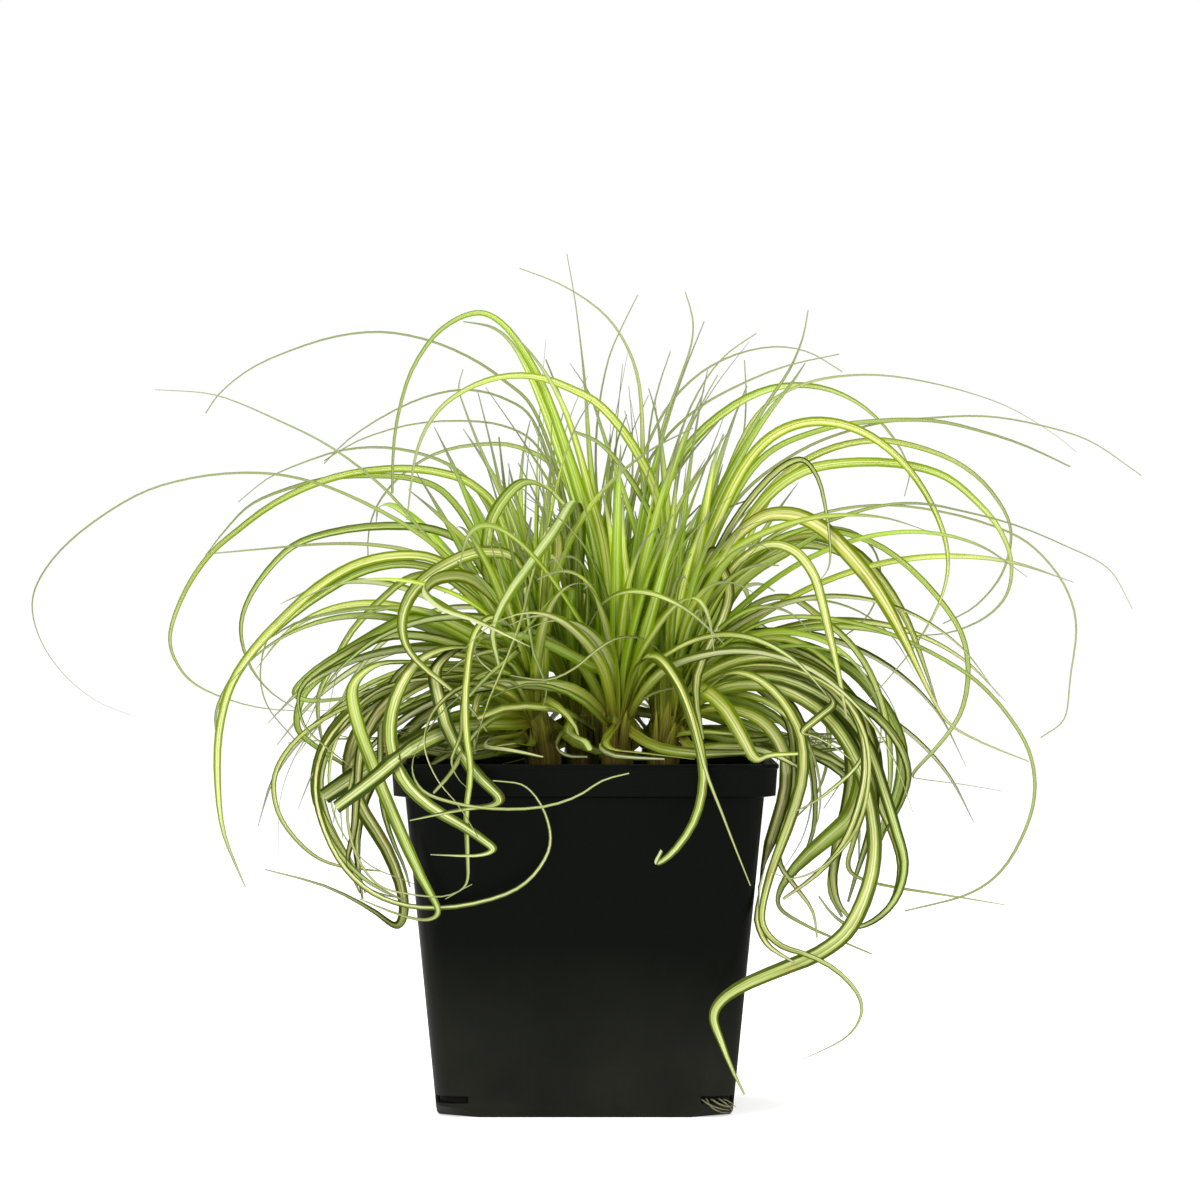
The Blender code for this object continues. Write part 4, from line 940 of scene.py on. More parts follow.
# Each traced blade: its shoot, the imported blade's width, its depth at mid length and at the tip,
# its age, its own widths at even steps from crown to tip (or one width, to taper by habit), and
# its route (x, z) as it looks from the front, from where it leaves the crown to its tip. An age
# of None follows from its height.
TRACED = {
    "far_left_loop": ("left", 3.6, -16, -34, 0.30, (2.6, 2.2, 1.0, 0.7, 0.7, 0.4), [
        (-24, 163), (-45, 189), (-60, 201), (-80, 211.5), (-96, 217), (-112, 219), (-131, 217.5),
        (-150, 212), (-169, 200), (-181, 188), (-186.5, 176), (-184, 163), (-176, 151), (-165, 142),
        (-153, 137)]),
    "upper_left_feeler": ("left", 3.4, 8, 22, 0.35, (2.4, 2.0, 1.5, 1.0, 0.7, 0.4), [
        (-22, 158), (-36, 178), (-48, 191), (-58, 203), (-67, 213), (-77, 221.5), (-88, 229),
        (-101, 235.5), (-124, 245), (-145, 247)]),
    "left_curtain": ("left", 4.6, -24, -40, 0.55, (3.0, 3.6, 3.6, 3.6, 3.3, 2.6, 0.4), [
        (-23, 162), (-36, 180), (-50, 189.5), (-63, 191), (-77, 188), (-90, 180.5), (-101, 170.5),
        (-111, 160), (-119, 148), (-123, 134), (-124, 118), (-122, 98), (-114.5, 79)]),
    "left_curtain_twin": ("rear_left", 3.2, -2, -8, 0.60, (2.8, 3.2, 3.2, 3.0, 2.4, 0.6), [
        (-26, 165), (-42, 182), (-58, 188), (-74, 186), (-89, 178), (-101, 169), (-112, 159),
        (-120, 148), (-124.5, 138), (-124, 128)]),
    "left_hair_loop": ("rear_left", 2.4, 20, 12, 0.50, (2.0, 1.8, 0.9, 0.6, 0.6, 0.4), [
        (-28, 170), (-50, 186), (-68, 190), (-82, 186), (-96, 177), (-106, 165), (-109.5, 152),
        (-107, 140), (-98, 129)]),
    "left_long_arch": ("left", 4.2, 14, 10, 0.35, (3.0, 3.4, 3.2, 2.8, 2.2, 1.4, 0.4), [
        (-20, 170), (-28, 203), (-37, 214.5), (-48, 219), (-62, 220.5), (-78, 219), (-92, 215),
        (-106, 208), (-118, 199), (-127, 191), (-135, 179), (-140, 165), (-138, 155), (-130, 146.5),
        (-112, 140), (-92, 138.5), (-78, 139.5)]),
    "left_arch_twin": ("rear_left", 3.4, 22, 30, 0.40, (2.8, 3.0, 2.8, 2.0, 1.2, 0.4), [
        (-24, 165), (-36, 196), (-46, 211), (-56, 216.5), (-70, 218), (-87, 217), (-102, 213),
        (-113, 208), (-121, 200), (-128, 191)]),
    "left_level": ("left", 2.8, -6, -14, 0.30, (2.4, 2.4, 2.0, 1.4, 0.8, 0.4), [
        (-22, 160), (-38, 180), (-55, 191), (-70, 194.5), (-87, 195), (-106, 193.5), (-128, 191.5)]),
    "left_pale_hook": ("rear_left", 3.3, 34, 38, 0.75, (2.6, 3.0, 3.0, 3.0, 2.6, 1.8, 0.4), [
        (-26, 168), (-38, 192), (-50, 199.5), (-66, 201), (-82, 199.5), (-97, 195), (-107, 186),
        (-114, 175), (-116, 165), (-113, 154), (-106, 145), (-97, 139)]),
    "back_left_hook": ("rear", 3.0, 50, 56, 0.30, (2.6, 2.8, 2.4, 1.6, 1.0, 0.4), [
        (2, 190), (-8, 218), (-22, 227.5), (-36, 228.5), (-50, 225.5), (-62, 218), (-70, 208),
        (-73, 198), (-73, 188)]),
    "back_left_reach": ("rear_left", 2.6, 40, 52, 0.30, (2.2, 2.2, 1.8, 1.2, 0.8, 0.4), [
        (-24, 180), (-32, 206), (-42, 219), (-54, 225), (-68, 227.5), (-82, 226.5), (-96, 222),
        (-107, 217), (-117, 209)]),
    "tall_arch": ("middle", 5.4, -14, -22, 0.22, (4.6, 5.4, 5.2, 4.6, 3.0, 2.2, 1.8, 1.5, 1.2), [
        (6, 185), (-1, 210), (-8, 232), (-14, 248), (-21, 261), (-28, 269.5), (-35, 273), (-43, 271),
        (-51, 265), (-58, 254.5), (-62, 243), (-64.5, 229), (-65, 212)]),
    "tall_arch_second": ("middle", 5.0, -2, 6, 0.14, (4.4, 5.0, 4.4, 3.4, 2.2, 0.4), [
        (5, 180), (-4, 212), (-12, 236), (-18, 251), (-24, 262), (-31, 268), (-41, 270)]),
    "tall_arch_third": ("middle", 4.4, -8, -4, 0.22, (4.0, 4.4, 3.8, 3.0, 2.0, 0.4), [
        (8, 185), (2, 212), (-5, 236), (-11, 249), (-17, 258), (-24, 266)]),
    "high_left_thread": ("inner", 3.2, 20, 36, 0.40, (2.4, 2.2, 1.4, 0.9, 0.7, 0.4), [
        (-2, 180), (-8, 215), (-17, 240), (-27, 250), (-38, 257.5), (-52, 263.5), (-68, 266.5),
        (-84, 265), (-100, 260), (-113, 254), (-123, 246), (-128, 239)]),
    "high_left_thread_low": ("inner", 3.0, 8, 20, 0.40, (2.2, 2.0, 1.4, 0.9, 0.7, 0.4), [
        (-4, 175), (-9, 212), (-17, 236), (-27, 244), (-40, 247), (-54, 244.5), (-68, 238), (-80, 230),
        (-88, 222)]),
    "right_to_left_arch": ("right", 4.0, -18, -30, 0.30, (3.4, 3.8, 3.8, 3.2, 2.4, 1.4, 0.4), [
        (26, 178), (25, 208), (17, 227), (6, 241), (-5, 247.5), (-17, 251.5), (-30, 251), (-42, 246),
        (-51, 238), (-57, 225), (-60, 203)]),
    "left_mid_thread": ("inner", 2.6, 16, 30, 0.40, (2.0, 1.8, 1.2, 0.8, 0.6, 0.4), [
        (-3, 180), (-8, 210), (-16, 228), (-28, 235), (-44, 236.5), (-60, 235), (-76, 230), (-88, 223)]),
    "left_spike": ("left", 2.8, 0, 4, 0.25, (2.6, 2.6, 2.2, 1.6, 1.0, 0.3), [
        (-18, 175), (-22, 196), (-29, 213), (-36, 229), (-41, 242), (-42.5, 248), (-41, 254)]),
    "tallest_spike": ("middle", 3.6, 2, 2, 0.20, (3.4, 3.6, 3.0, 2.4, 1.4, 0.5, 0.3), [
        (9, 175), (4, 205), (1.5, 228), (0.3, 247), (-1.5, 264), (-3.5, 279), (-6, 293)]),
    "back_feeler": ("right", 3.0, 8, 24, 0.30, (2.8, 2.8, 2.2, 1.4, 0.8, 0.4), [
        (24, 180), (20, 210), (19.5, 234), (18, 251), (13, 264), (5, 274), (-8, 282.5), (-22, 288)]),
    "back_hair": ("rear", 1.8, 30, 38, 0.45, (1.6, 1.6, 1.0, 0.7, 0.4), [
        (8, 180), (4, 215), (4.5, 238), (8, 257), (13, 269), (18, 279)]),
    "short_crosser": ("right", 3.0, 4, 10, None, 3.0, [
        (22, 180), (14, 210), (7, 230), (2, 245), (-5, 256)]),
    "low_crosser": ("right", 3.6, -22, -30, 0.45, (3.0, 3.2, 2.8, 2.2, 1.0), [
        (26, 175), (24, 200), (14, 219), (5, 229), (-4, 233)]),
    "left_hook_over": ("left", 4.4, -26, -40, 0.45, (3.2, 4.0, 4.0, 4.2, 4.4, 4.6), [
        (-22, 162), (-32, 182), (-33, 197), (-29, 208), (-21, 216), (-13, 214), (-7, 208)]),
    "front_pale_fall": ("inner", 5.0, -26, -46, 0.50, (3.4, 4.2, 4.6, 5.2, 5.0, 4.2, 1.0), [
        (-3, 175), (-2, 198), (-4, 209), (-10, 200), (-19, 187.5), (-27, 176), (-31, 165), (-29, 154)]),
    "front_long_fall": ("left", 4.2, -36, -62, 0.45, (3.4, 4.2, 4.4, 4.4, 4.0, 3.2, 0.6), [
        (-13, 170), (-9, 193), (-12, 200), (-17, 186), (-21, 170), (-27, 154), (-33, 140), (-38, 123)]),
    "front_thin_fall": ("left", 2.4, -30, -40, 0.45, (2.4, 3.0, 3.0, 2.6, 1.8, 0.6), [
        (-16, 165), (-20, 180), (-19, 168), (-17, 157), (-13, 147), (-14, 140)]),
    "big_left_bow": ("left", 4.6, -42, -52, 0.70, (3.4, 4.4, 4.8, 4.8, 4.8, 4.4, 3.6, 0.8), [
        (-18, 165), (-22, 188), (-35, 192), (-48, 187), (-57, 180), (-61.5, 171), (-61, 162),
        (-56, 154.5), (-47, 147), (-39, 140), (-33, 131.5)]),
    "small_left_bow": ("left", 4.2, -30, -44, 0.60, (3.2, 3.8, 4.0, 4.3, 5.6, 6.4, 4.6, 0.8), [
        (-22, 165), (-36, 182), (-48, 184), (-54, 179), (-48, 173), (-38, 169.5), (-28, 165), (-18, 160)]),
    "left_shoulder": ("left", 3.4, -18, -26, 0.30, (2.4, 2.4, 2.2, 1.8, 1.2, 0.4), [
        (-24, 156), (-40, 166), (-55, 172), (-70, 173.5), (-86, 171.5), (-98, 168), (-108, 162)]),
    "left_inner_arc": ("rear_left", 3.6, 6, 4, 0.35, (2.4, 2.8, 2.8, 2.6, 2.0, 0.5), [
        (-28, 162), (-44, 182), (-58, 184), (-70, 175), (-79, 165), (-85, 154), (-90, 143), (-89, 130),
        (-86, 120)]),
    "left_folded": ("left", 4.8, -28, -22, 0.35, (3.4, 4.2, 4.2, 4.0, 3.2, 1.6, 0.5), [
        (-25, 152), (-42, 165), (-58, 170), (-70, 165), (-82, 158), (-92, 151.5), (-98, 145),
        (-93, 142), (-80, 143), (-66, 147.5)]),
    "left_folded_twin": ("rear_left", 4.6, 0, 6, 0.40, (3.2, 3.9, 3.9, 3.8, 3.2, 2.0, 0.5), [
        (-28, 158), (-46, 169), (-60, 169), (-74, 161), (-86, 153), (-95, 144), (-97, 133), (-90, 126),
        (-80, 119.5), (-72, 112)]),
    "left_bright_drop": ("left", 4.8, -44, -66, 0.70, (3.4, 4.4, 4.8, 4.8, 4.8, 4.6, 4.0, 1.6, 0.5), [
        (-24, 150), (-42, 154), (-58, 155), (-70, 154), (-78, 147), (-77, 136), (-73, 124), (-67, 109),
        (-61, 95), (-55, 82), (-49.5, 71.5), (-53, 68), (-62, 69.5), (-76, 75)]),
    "left_tail": ("rear_left", 5.0, -10, -30, 0.85, (3.4, 4.6, 5.1, 5.1, 4.8, 3.8, 1.6, 0.5), [
        (-30, 150), (-48, 152), (-64, 144), (-76, 132), (-79.5, 118), (-75, 105), (-67.5, 93),
        (-62.5, 81), (-61, 71), (-64, 66), (-73, 72), (-88, 79.5), (-108, 85)]),
    "front_left_bend": ("left", 4.6, -50, -76, 0.85, (3.6, 4.6, 5.0, 5.0, 5.0, 4.8, 4.2, 3.0, 0.6), [
        (-24, 154), (-42, 160), (-56, 155), (-64, 142), (-65.5, 128), (-61, 115), (-52, 106),
        (-42, 100), (-34.5, 95), (-31, 91.5), (-37, 89.5), (-52, 90)]),
    "rim_crosser": ("left", 3.8, -48, -74, 1.0, (3.6, 4.6, 4.9, 4.9, 4.8, 4.4, 3.4, 0.8), [
        (-24, 155), (-40, 160), (-50, 153), (-49, 142), (-46, 132), (-41, 123), (-35, 115.5),
        (-29, 109.5), (-31, 106.5), (-42, 105), (-59, 101.5)]),
    "front_drop": ("left", 2.8, -54, -72, 0.65, (2.2, 2.6, 2.6, 2.5, 2.4, 1.8, 0.5), [
        (-19, 158), (-29, 170), (-37, 165), (-40, 148), (-40, 132), (-38.5, 118), (-40, 104),
        (-39.5, 90), (-40, 80), (-47, 75)]),
    "left_dark_strap": ("left", 5.4, -24, -34, 1.0, (4.6, 5.6, 6.6, 7.0, 6.8, 5.6), [
        (-24, 136), (-36, 135.5), (-48, 132), (-62, 125.5), (-76, 117.5), (-88, 109.5)]),
    "left_dark_strap_low": ("left", 5.0, -38, -52, 1.0, (4.4, 5.4, 6.0, 6.2, 6.0, 4.6), [
        (-24, 134), (-36, 134), (-48, 131), (-61, 124), (-72, 115), (-84, 106)]),
    "left_back_hanger": ("rear_left", 5.0, 10, 2, 1.0, (3.4, 4.2, 4.6, 4.4, 3.6, 0.8), [
        (-34, 144), (-52, 138), (-66, 124), (-74, 110), (-77, 97), (-76.5, 85), (-75, 75)]),
    "left_outer_ring": ("left", 3.0, -34, -30, 0.85, (2.2, 2.4, 2.2, 2.0, 1.9, 1.4, 0.5), [
        (-27, 148), (-48, 150), (-68, 145), (-86, 137), (-98, 128), (-104.5, 117), (-104, 106),
        (-99, 97), (-91, 89.5), (-82, 86), (-69, 84.5)]),
    "left_inner_ring": ("left", 3.8, -40, -48, 0.70, (2.6, 3.0, 2.8, 2.6, 2.6, 2.2, 0.6), [
        (-27, 144), (-46, 148), (-64, 146), (-78, 139), (-86.5, 129), (-90.5, 117), (-90, 106),
        (-86, 95), (-79, 86), (-71, 79.5), (-61, 74.5)]),
    "left_ring_white": ("rear_left", 3.6, 14, 12, 0.95, (2.0, 2.2, 2.2, 2.0, 1.8, 0.6), [
        (-32, 150), (-54, 150), (-74, 141), (-85, 128), (-89, 115), (-86.5, 102), (-82, 93),
        (-76.5, 84), (-74, 77)]),
    "front_loop": ("left", 3.2, -60, -80, 1.0, (2.2, 2.4, 2.2, 2.0, 1.9, 1.7, 1.2, 0.5), [
        (-30, 149), (-44, 150), (-66, 147), (-80, 137), (-89, 124), (-90.5, 108), (-84, 90), (-73, 78),
        (-58, 72.5), (-40, 73), (-22, 79), (-12.3, 91), (-13, 103), (-20, 113), (-31, 115)]),
    "low_left_rim": ("left", 3.6, -22, -36, 1.0, (3.0, 3.6, 3.4, 2.8, 0.8), [
        (-22, 128), (-30, 127.5), (-38, 126), (-47, 123.5), (-56, 118)]),
    "low_left_rim_back": ("rear_left", 3.8, 12, 10, 1.0, (3.4, 4.2, 4.0, 3.2, 0.8), [
        (-30, 136), (-42, 134), (-54, 131), (-66, 126), (-78, 121)]),
    "left_short_curl": ("left", 3.4, -28, -40, None, 3.4, [
        (-15, 142), (-9, 140), (-3.5, 134), (-1, 127)]),
    "right_short_spear": ("right", 4.6, 0, 2, 0.18, (4.2, 4.8, 4.4, 3.6, 2.4, 0.4), [
        (31, 170), (40, 198), (50, 220), (60, 236.5), (69, 248), (74.5, 256)]),
    "right_long_spear": ("rear_right", 3.6, 16, 22, 0.30, (3.2, 3.4, 3.0, 2.2, 1.2, 0.4), [
        (32, 170), (40, 200), (52, 226), (62, 243), (69, 253.5), (73.5, 264), (75.5, 274)]),
    "right_great_loop": ("right", 4.6, -14, -28, 0.35, (3.4, 4.4, 4.4, 4.0, 3.4, 2.6, 1.6, 0.5), [
        (33, 170), (42, 196), (52, 218), (62, 230.5), (74, 236), (87, 235.5), (99, 230), (109, 221),
        (117, 209), (122, 196), (122.5, 184), (118, 171), (109, 157), (95, 141)]),
    "right_high_arch": ("rear", 3.8, 34, 46, 0.35, (3.2, 3.8, 3.8, 3.2, 2.2, 1.0), [
        (20, 180), (26, 212), (36, 229), (48, 240), (60, 246.5), (72, 248.5), (84, 246.5), (95, 240.5),
        (104, 231), (109.5, 220), (108, 211)]),
    "right_far_thread": ("rear_right", 3.0, 28, 44, 0.40, (2.8, 2.6, 1.8, 1.2, 0.8, 0.4), [
        (34, 175), (45, 210), (57, 237), (73, 248.5), (94, 252), (116, 249.5), (140, 242.5), (157, 233),
        (166, 226)]),
    "right_far_level": ("right", 3.2, 4, -4, 0.30, (3.0, 3.2, 2.6, 2.0, 1.2, 0.5), [
        (35, 172), (46, 202), (60, 224), (80, 233.5), (100, 236.5), (118, 236.5), (134, 233),
        (149, 228), (164, 221)]),
    "right_faint_thread": ("rear_right", 2.4, 40, 60, 0.45, (2.2, 1.8, 1.2, 0.8, 0.6, 0.3), [
        (36, 178), (50, 208), (72, 226), (96, 235), (117, 237.5), (136, 238), (154, 235), (171, 229.5),
        (188, 218)]),
    "top_right_thread": ("rear", 2.2, 30, 42, 0.45, (1.8, 1.6, 1.2, 0.8, 0.4), [
        (14, 180), (17, 212), (26, 229), (38, 240.5), (52, 248.5), (68, 255), (86, 259)]),
    "top_right_bow": ("rear", 2.3, 42, 58, 0.45, (1.8, 1.6, 1.1, 0.7, 0.4), [
        (12, 185), (17, 216), (26, 238), (37, 251), (50, 258.5), (64, 261.5), (76, 259.5), (87, 253)]),
    "top_right_reach": ("rear_right", 2.0, 32, 44, 0.45, (1.6, 1.4, 1.0, 0.7, 0.4), [
        (26, 180), (28, 212), (33, 234), (40, 249), (48, 259), (58, 266)]),
    "top_thread_a": ("middle", 2.0, 6, 14, 0.40, (1.8, 1.6, 1.2, 0.8, 0.4), [
        (15, 180), (20, 210), (22, 234), (25, 248), (29, 260)]),
    "top_thread_b": ("right", 2.4, 12, 22, 0.40, (2.2, 2.0, 1.6, 1.0, 0.4), [
        (25, 175), (24, 205), (26, 232), (32, 250), (36, 262), (36.5, 271), (34, 280)]),
    "top_thread_c": ("rear_right", 1.9, 22, 30, 0.45, (1.6, 1.4, 1.0, 0.7, 0.4), [
        (28, 175), (30, 205), (34, 229), (40, 243), (45, 252)]),
    "top_thread_d": ("rear_right", 2.0, 30, 36, 0.45, (1.6, 1.4, 1.0, 0.7, 0.4), [
        (34, 180), (47, 207), (53, 228), (54.5, 243), (54, 257)]),
    "right_pale_blade": ("rear", 3.8, 20, 26, None, 3.8, [
        (18, 175), (26, 196), (34, 211), (41, 222), (48, 232)]),
    "right_upright": ("right", 4.4, -6, -4, 0.15, (4.2, 4.6, 4.0, 2.8, 0.6), [
        (32, 168), (38, 190), (41.5, 210), (44, 224), (47, 232)]),
    "right_big_loop": ("right", 4.2, -8, 6, 0.35, (3.6, 4.2, 4.2, 3.8, 3.2, 2.2, 1.2, 0.5), [
        (36, 165), (48, 190), (60, 209), (74, 219.5), (92, 222.5), (109, 221.5), (122, 217.5),
        (132, 209.5), (140, 200), (144, 189), (142.5, 178), (135, 170), (123, 165), (111, 164)]),
    "right_big_loop_twin": ("rear_right", 3.2, 22, 30, 0.40, (2.8, 3.2, 3.0, 2.6, 1.8, 1.0, 0.4), [
        (36, 168), (50, 195), (64, 215), (80, 226), (98, 230), (115, 227), (129, 220.5), (139, 210.5),
        (144, 199), (141, 185), (132, 174), (121, 168)]),
    "right_level_thread": ("right", 3.8, -14, -24, 0.40, (3.4, 3.4, 2.6, 1.6, 1.0, 0.7, 0.4), [
        (35, 158), (46, 181), (62, 195), (80, 202), (98, 207.5), (113, 208.7), (128, 206), (145, 201.5),
        (162, 194.5), (177, 186.5), (185, 173)]),
    "right_hair_drop": ("rear_right", 2.8, 10, 4, 0.45, (2.6, 2.6, 1.6, 0.9, 0.8, 0.7, 0.4), [
        (37, 160), (52, 188), (74, 203), (98, 208), (122, 205.5), (143, 199), (154, 191.5),
        (162.5, 180), (166, 167), (164, 150), (162, 136), (154, 129.5)]),
    "right_short_fall": ("right", 4.4, -20, -34, 1.0, (2.6, 3.0, 3.0, 2.8, 2.6, 1.8, 0.6), [
        (34, 165), (46, 195), (60, 215), (72, 223.5), (78.5, 218), (81.5, 207), (83, 195), (82.5, 187),
        (79, 182)]),
    "right_feather": ("right", 5.8, -30, -46, 0.60, (3.4, 3.8, 3.6, 3.8, 5.4, 6.6, 5.6, 2.0, 1.0, 0.5), [
        (36, 162), (46, 190), (58, 203), (70, 205), (81, 200), (90, 191), (98, 181), (105, 169),
        (111, 156.5), (117, 144), (123, 134.5), (134, 128), (150, 121.5)]),
    "right_feather_twin": ("rear_right", 4.6, 2, -6, 0.55, (3.0, 3.4, 3.4, 4.4, 4.8, 2.8, 0.6), [
        (38, 160), (55, 188), (74, 198), (90, 193), (101, 182), (109, 169), (114, 156), (119, 141)]),
    "right_thick_run": ("right", 5.4, -12, -16, 0.35, (4.8, 5.6, 5.6, 5.0, 1.6), [
        (36, 155), (46, 175), (57, 186), (69, 192.5), (82, 200)]),
    "right_thick_run_low": ("rear_right", 4.8, 8, 2, 0.45, (4.4, 5.2, 5.2, 4.2, 1.2), [
        (38, 156), (48, 176), (58, 188), (70, 194.5), (82, 193.5), (92, 188.5)]),
    "right_mid_fall": ("right", 4.2, -32, -40, 0.60, (3.2, 3.8, 3.8, 3.8, 3.2, 0.8), [
        (36, 160), (48, 184), (60, 194), (70, 193), (77, 185), (80.5, 174), (83, 163), (86, 150),
        (88.5, 136)]),
    "right_long_ring": ("right", 3.4, -26, -22, 0.55, (2.4, 2.4, 2.2, 1.8, 1.5, 1.4, 1.0, 0.5), [
        (38, 152), (50, 163), (64, 169.5), (79, 170), (94, 167.5), (108, 162.5), (122, 155.5),
        (133, 148), (143, 137), (150, 125), (152, 112), (149, 99), (141, 85), (129, 76.5), (108, 71)]),
    "right_pale_curtain": ("rear_right", 3.8, 6, -4, 0.65, (2.6, 3.0, 2.8, 2.6, 2.4, 1.0), [
        (38, 152), (54, 172), (68, 177), (79, 170.5), (89, 162), (96, 152), (101, 139), (103, 126),
        (103, 113), (100, 98)]),
    "right_small_arc": ("rear_right", 3.4, 12, 18, 0.55, (2.2, 2.0, 1.4, 0.9, 0.5), [
        (38, 160), (55, 186), (74, 199), (88, 200), (97, 194), (100, 184), (97, 173), (91, 166),
        (84, 162)]),
    "right_elbow": ("right", 3.0, -36, -44, 0.55, (2.4, 2.6, 2.5, 2.3, 2.1, 1.8, 1.2, 0.5), [
        (37, 158), (50, 184), (66, 197), (82, 199.5), (97, 195.5), (109, 187.5), (120, 176),
        (127.5, 164), (129.5, 151), (127, 138), (120, 127.5), (111, 117.5), (114, 115.5), (126, 114),
        (141, 111.5)]),
    "swoosh_outer": ("right", 4.0, -20, -26, 0.95, (3.0, 3.8, 4.0, 4.0, 3.4, 1.4), [
        (38, 150), (50, 160), (64, 157), (78, 150), (90, 143), (100, 135.5), (107, 126), (109.5, 116),
        (106.5, 106), (101, 97)]),
    "swoosh_olive": ("right", 5.4, -28, -36, 1.0, (4.0, 5.4, 6.0, 6.0, 5.4, 3.8, 1.2), [
        (39, 146), (52, 155), (66, 152), (79, 145), (89, 136), (95, 124), (97.5, 111), (97, 98),
        (97, 85), (94, 70)]),
    "swoosh_brown": ("right", 5.6, -36, -50, 0.65, (4.0, 5.6, 6.6, 7.4, 7.6, 7.6, 7.0, 5.0, 1.6, 1.0, 0.5), [
        (38, 144), (50, 151), (63, 151), (75, 147), (85, 139.5), (92, 128), (94, 115), (90, 103),
        (82, 95.5), (73, 87.5), (66.5, 79), (66, 72), (75, 66), (85, 61.5), (97, 56.5)]),
    "swoosh_back": ("rear_right", 4.4, 14, 8, 0.80, (3.8, 5.0, 5.8, 6.0, 5.2, 3.4, 1.0), [
        (38, 148), (52, 155), (68, 155), (82, 149), (92, 139), (98, 125), (99, 110), (96, 96), (92, 84),
        (89, 74)]),
    "swoosh_back_low": ("rear_right", 4.2, 24, 30, 0.85, (3.8, 5.2, 6.4, 6.4, 5.4, 3.4, 1.0), [
        (38, 146), (52, 150), (66, 148), (80, 141), (90, 130), (94, 116), (91, 102), (85, 90), (83, 78),
        (87, 69)]),
    "swoosh_level": ("rear_right", 3.6, 20, 16, 0.85, (3.4, 4.4, 4.4, 3.6, 1.4), [
        (37, 144), (48, 147.5), (60, 147), (73, 142), (84, 136)]),
    "right_bottom_hook": ("right", 4.0, -44, -40, 1.0, (3.2, 4.0, 4.3, 4.3, 4.2, 3.6, 2.4, 0.8), [
        (38, 144), (52, 150), (68, 149), (84, 141), (95, 128), (101, 112), (105, 99), (108, 87),
        (105.5, 76), (99, 68.5), (91, 65.5), (84, 69.5), (79, 76)]),
    "lowest_ribbon": ("right", 5.6, -52, -78, 0.9, (4.0, 5.0, 5.0, 5.0, 4.8, 5.0, 5.6, 5.4, 4.8, 2.8, 0.6), [
        (38, 142), (50, 147), (66, 146), (80, 138), (90, 125), (96, 109), (98, 93), (95.5, 78),
        (89, 64.5), (79, 56.5), (67, 51.5), (55, 46.5), (46.5, 41), (43.5, 35), (46, 27), (50, 17),
        (54, 9)]),
    "pot_side_drop": ("right", 4.8, -56, -64, 0.90, (3.4, 4.3, 4.3, 4.2, 3.8, 2.6, 2.0, 1.6, 0.5), [
        (38, 143), (48, 151), (58, 149.5), (67, 141.5), (73, 129.5), (73.5, 116), (70, 103), (65.5, 91),
        (61.5, 79), (60, 67), (66, 59.5), (76, 56), (85, 51), (92, 43.5), (93.5, 36), (88, 28), (74, 21)]),
    "pot_side_drop_twin": ("right", 4.8, -40, -62, 0.95, (3.6, 4.8, 5.0, 5.0, 4.6, 3.2, 0.8), [
        (37, 138), (48, 139.5), (60, 135), (67, 125), (68, 113), (65, 101), (61.5, 90), (59, 79),
        (58.5, 68), (62, 59.5), (71, 53.5)]),
    "right_dart": ("rear_right", 3.0, 2, -20, 0.60, (2.4, 2.8, 2.6, 2.2, 1.8, 1.6, 0.5), [
        (40, 144), (58, 149), (76, 143), (89, 128), (95, 111), (91, 95), (89, 86), (94, 81.5),
        (107, 78.5), (124, 76), (142, 73)]),
    "rim_corner_fold": ("right", 4.6, -44, -52, 0.60, (4.2, 5.4, 5.6, 5.4, 4.0, 2.0), [
        (37, 146), (46, 141), (52, 132), (57.5, 122.5), (63, 123.5), (72, 124)]),
    "rim_back_run": ("rear_right", 4.8, 26, 24, 1.0, (4.0, 5.2, 5.2, 4.6, 2.0), [
        (38, 130), (48, 129), (59, 128.5), (70, 126.5), (81, 122), (91, 114)]),
    "rim_front_run": ("middle", 3.4, -30, -58, 1.0, (3.0, 3.6, 3.6, 3.4, 2.0), [
        (14, 133), (19, 129), (26, 126), (34, 124.6), (43, 124), (54, 124.5)]),
    "front_hooked_drop": ("middle", 4.0, -52, -77, 0.85, (3.2, 4.6, 4.8, 4.3, 3.8, 3.4, 3.1, 2.6, 1.4), [
        (16, 150), (21, 157), (28, 153.5), (33, 145), (36.5, 135), (39.3, 124), (40, 114), (38, 104),
        (34, 96), (28.5, 89.5), (24, 87), (26, 91.5)]),
    "front_right_drop": ("middle", 2.6, -58, -80, 0.80, (2.2, 3.0, 2.6, 1.6, 0.9, 0.4), [
        (17, 152), (24, 157), (31, 149), (36, 137), (41, 118), (46, 105), (51, 92), (56, 79.5)]),
    "front_snake": ("right", 3.8, -26, -52, 0.95, (3.0, 4.0, 4.5, 4.5, 4.4, 3.6, 1.0), [
        (31, 165), (38, 182), (43, 192), (46.5, 186.5), (49, 178.5), (46.5, 169), (41.5, 159),
        (38, 150), (38, 140), (40, 129)]),
    "centre_thread": ("right", 2.2, -40, -52, 0.90, (1.8, 1.8, 1.4, 1.1, 0.9, 0.5), [
        (29, 150), (26, 158), (19, 163), (11, 163), (4, 159), (-4, 152.5), (-13, 149), (-25, 150.5)]),
}

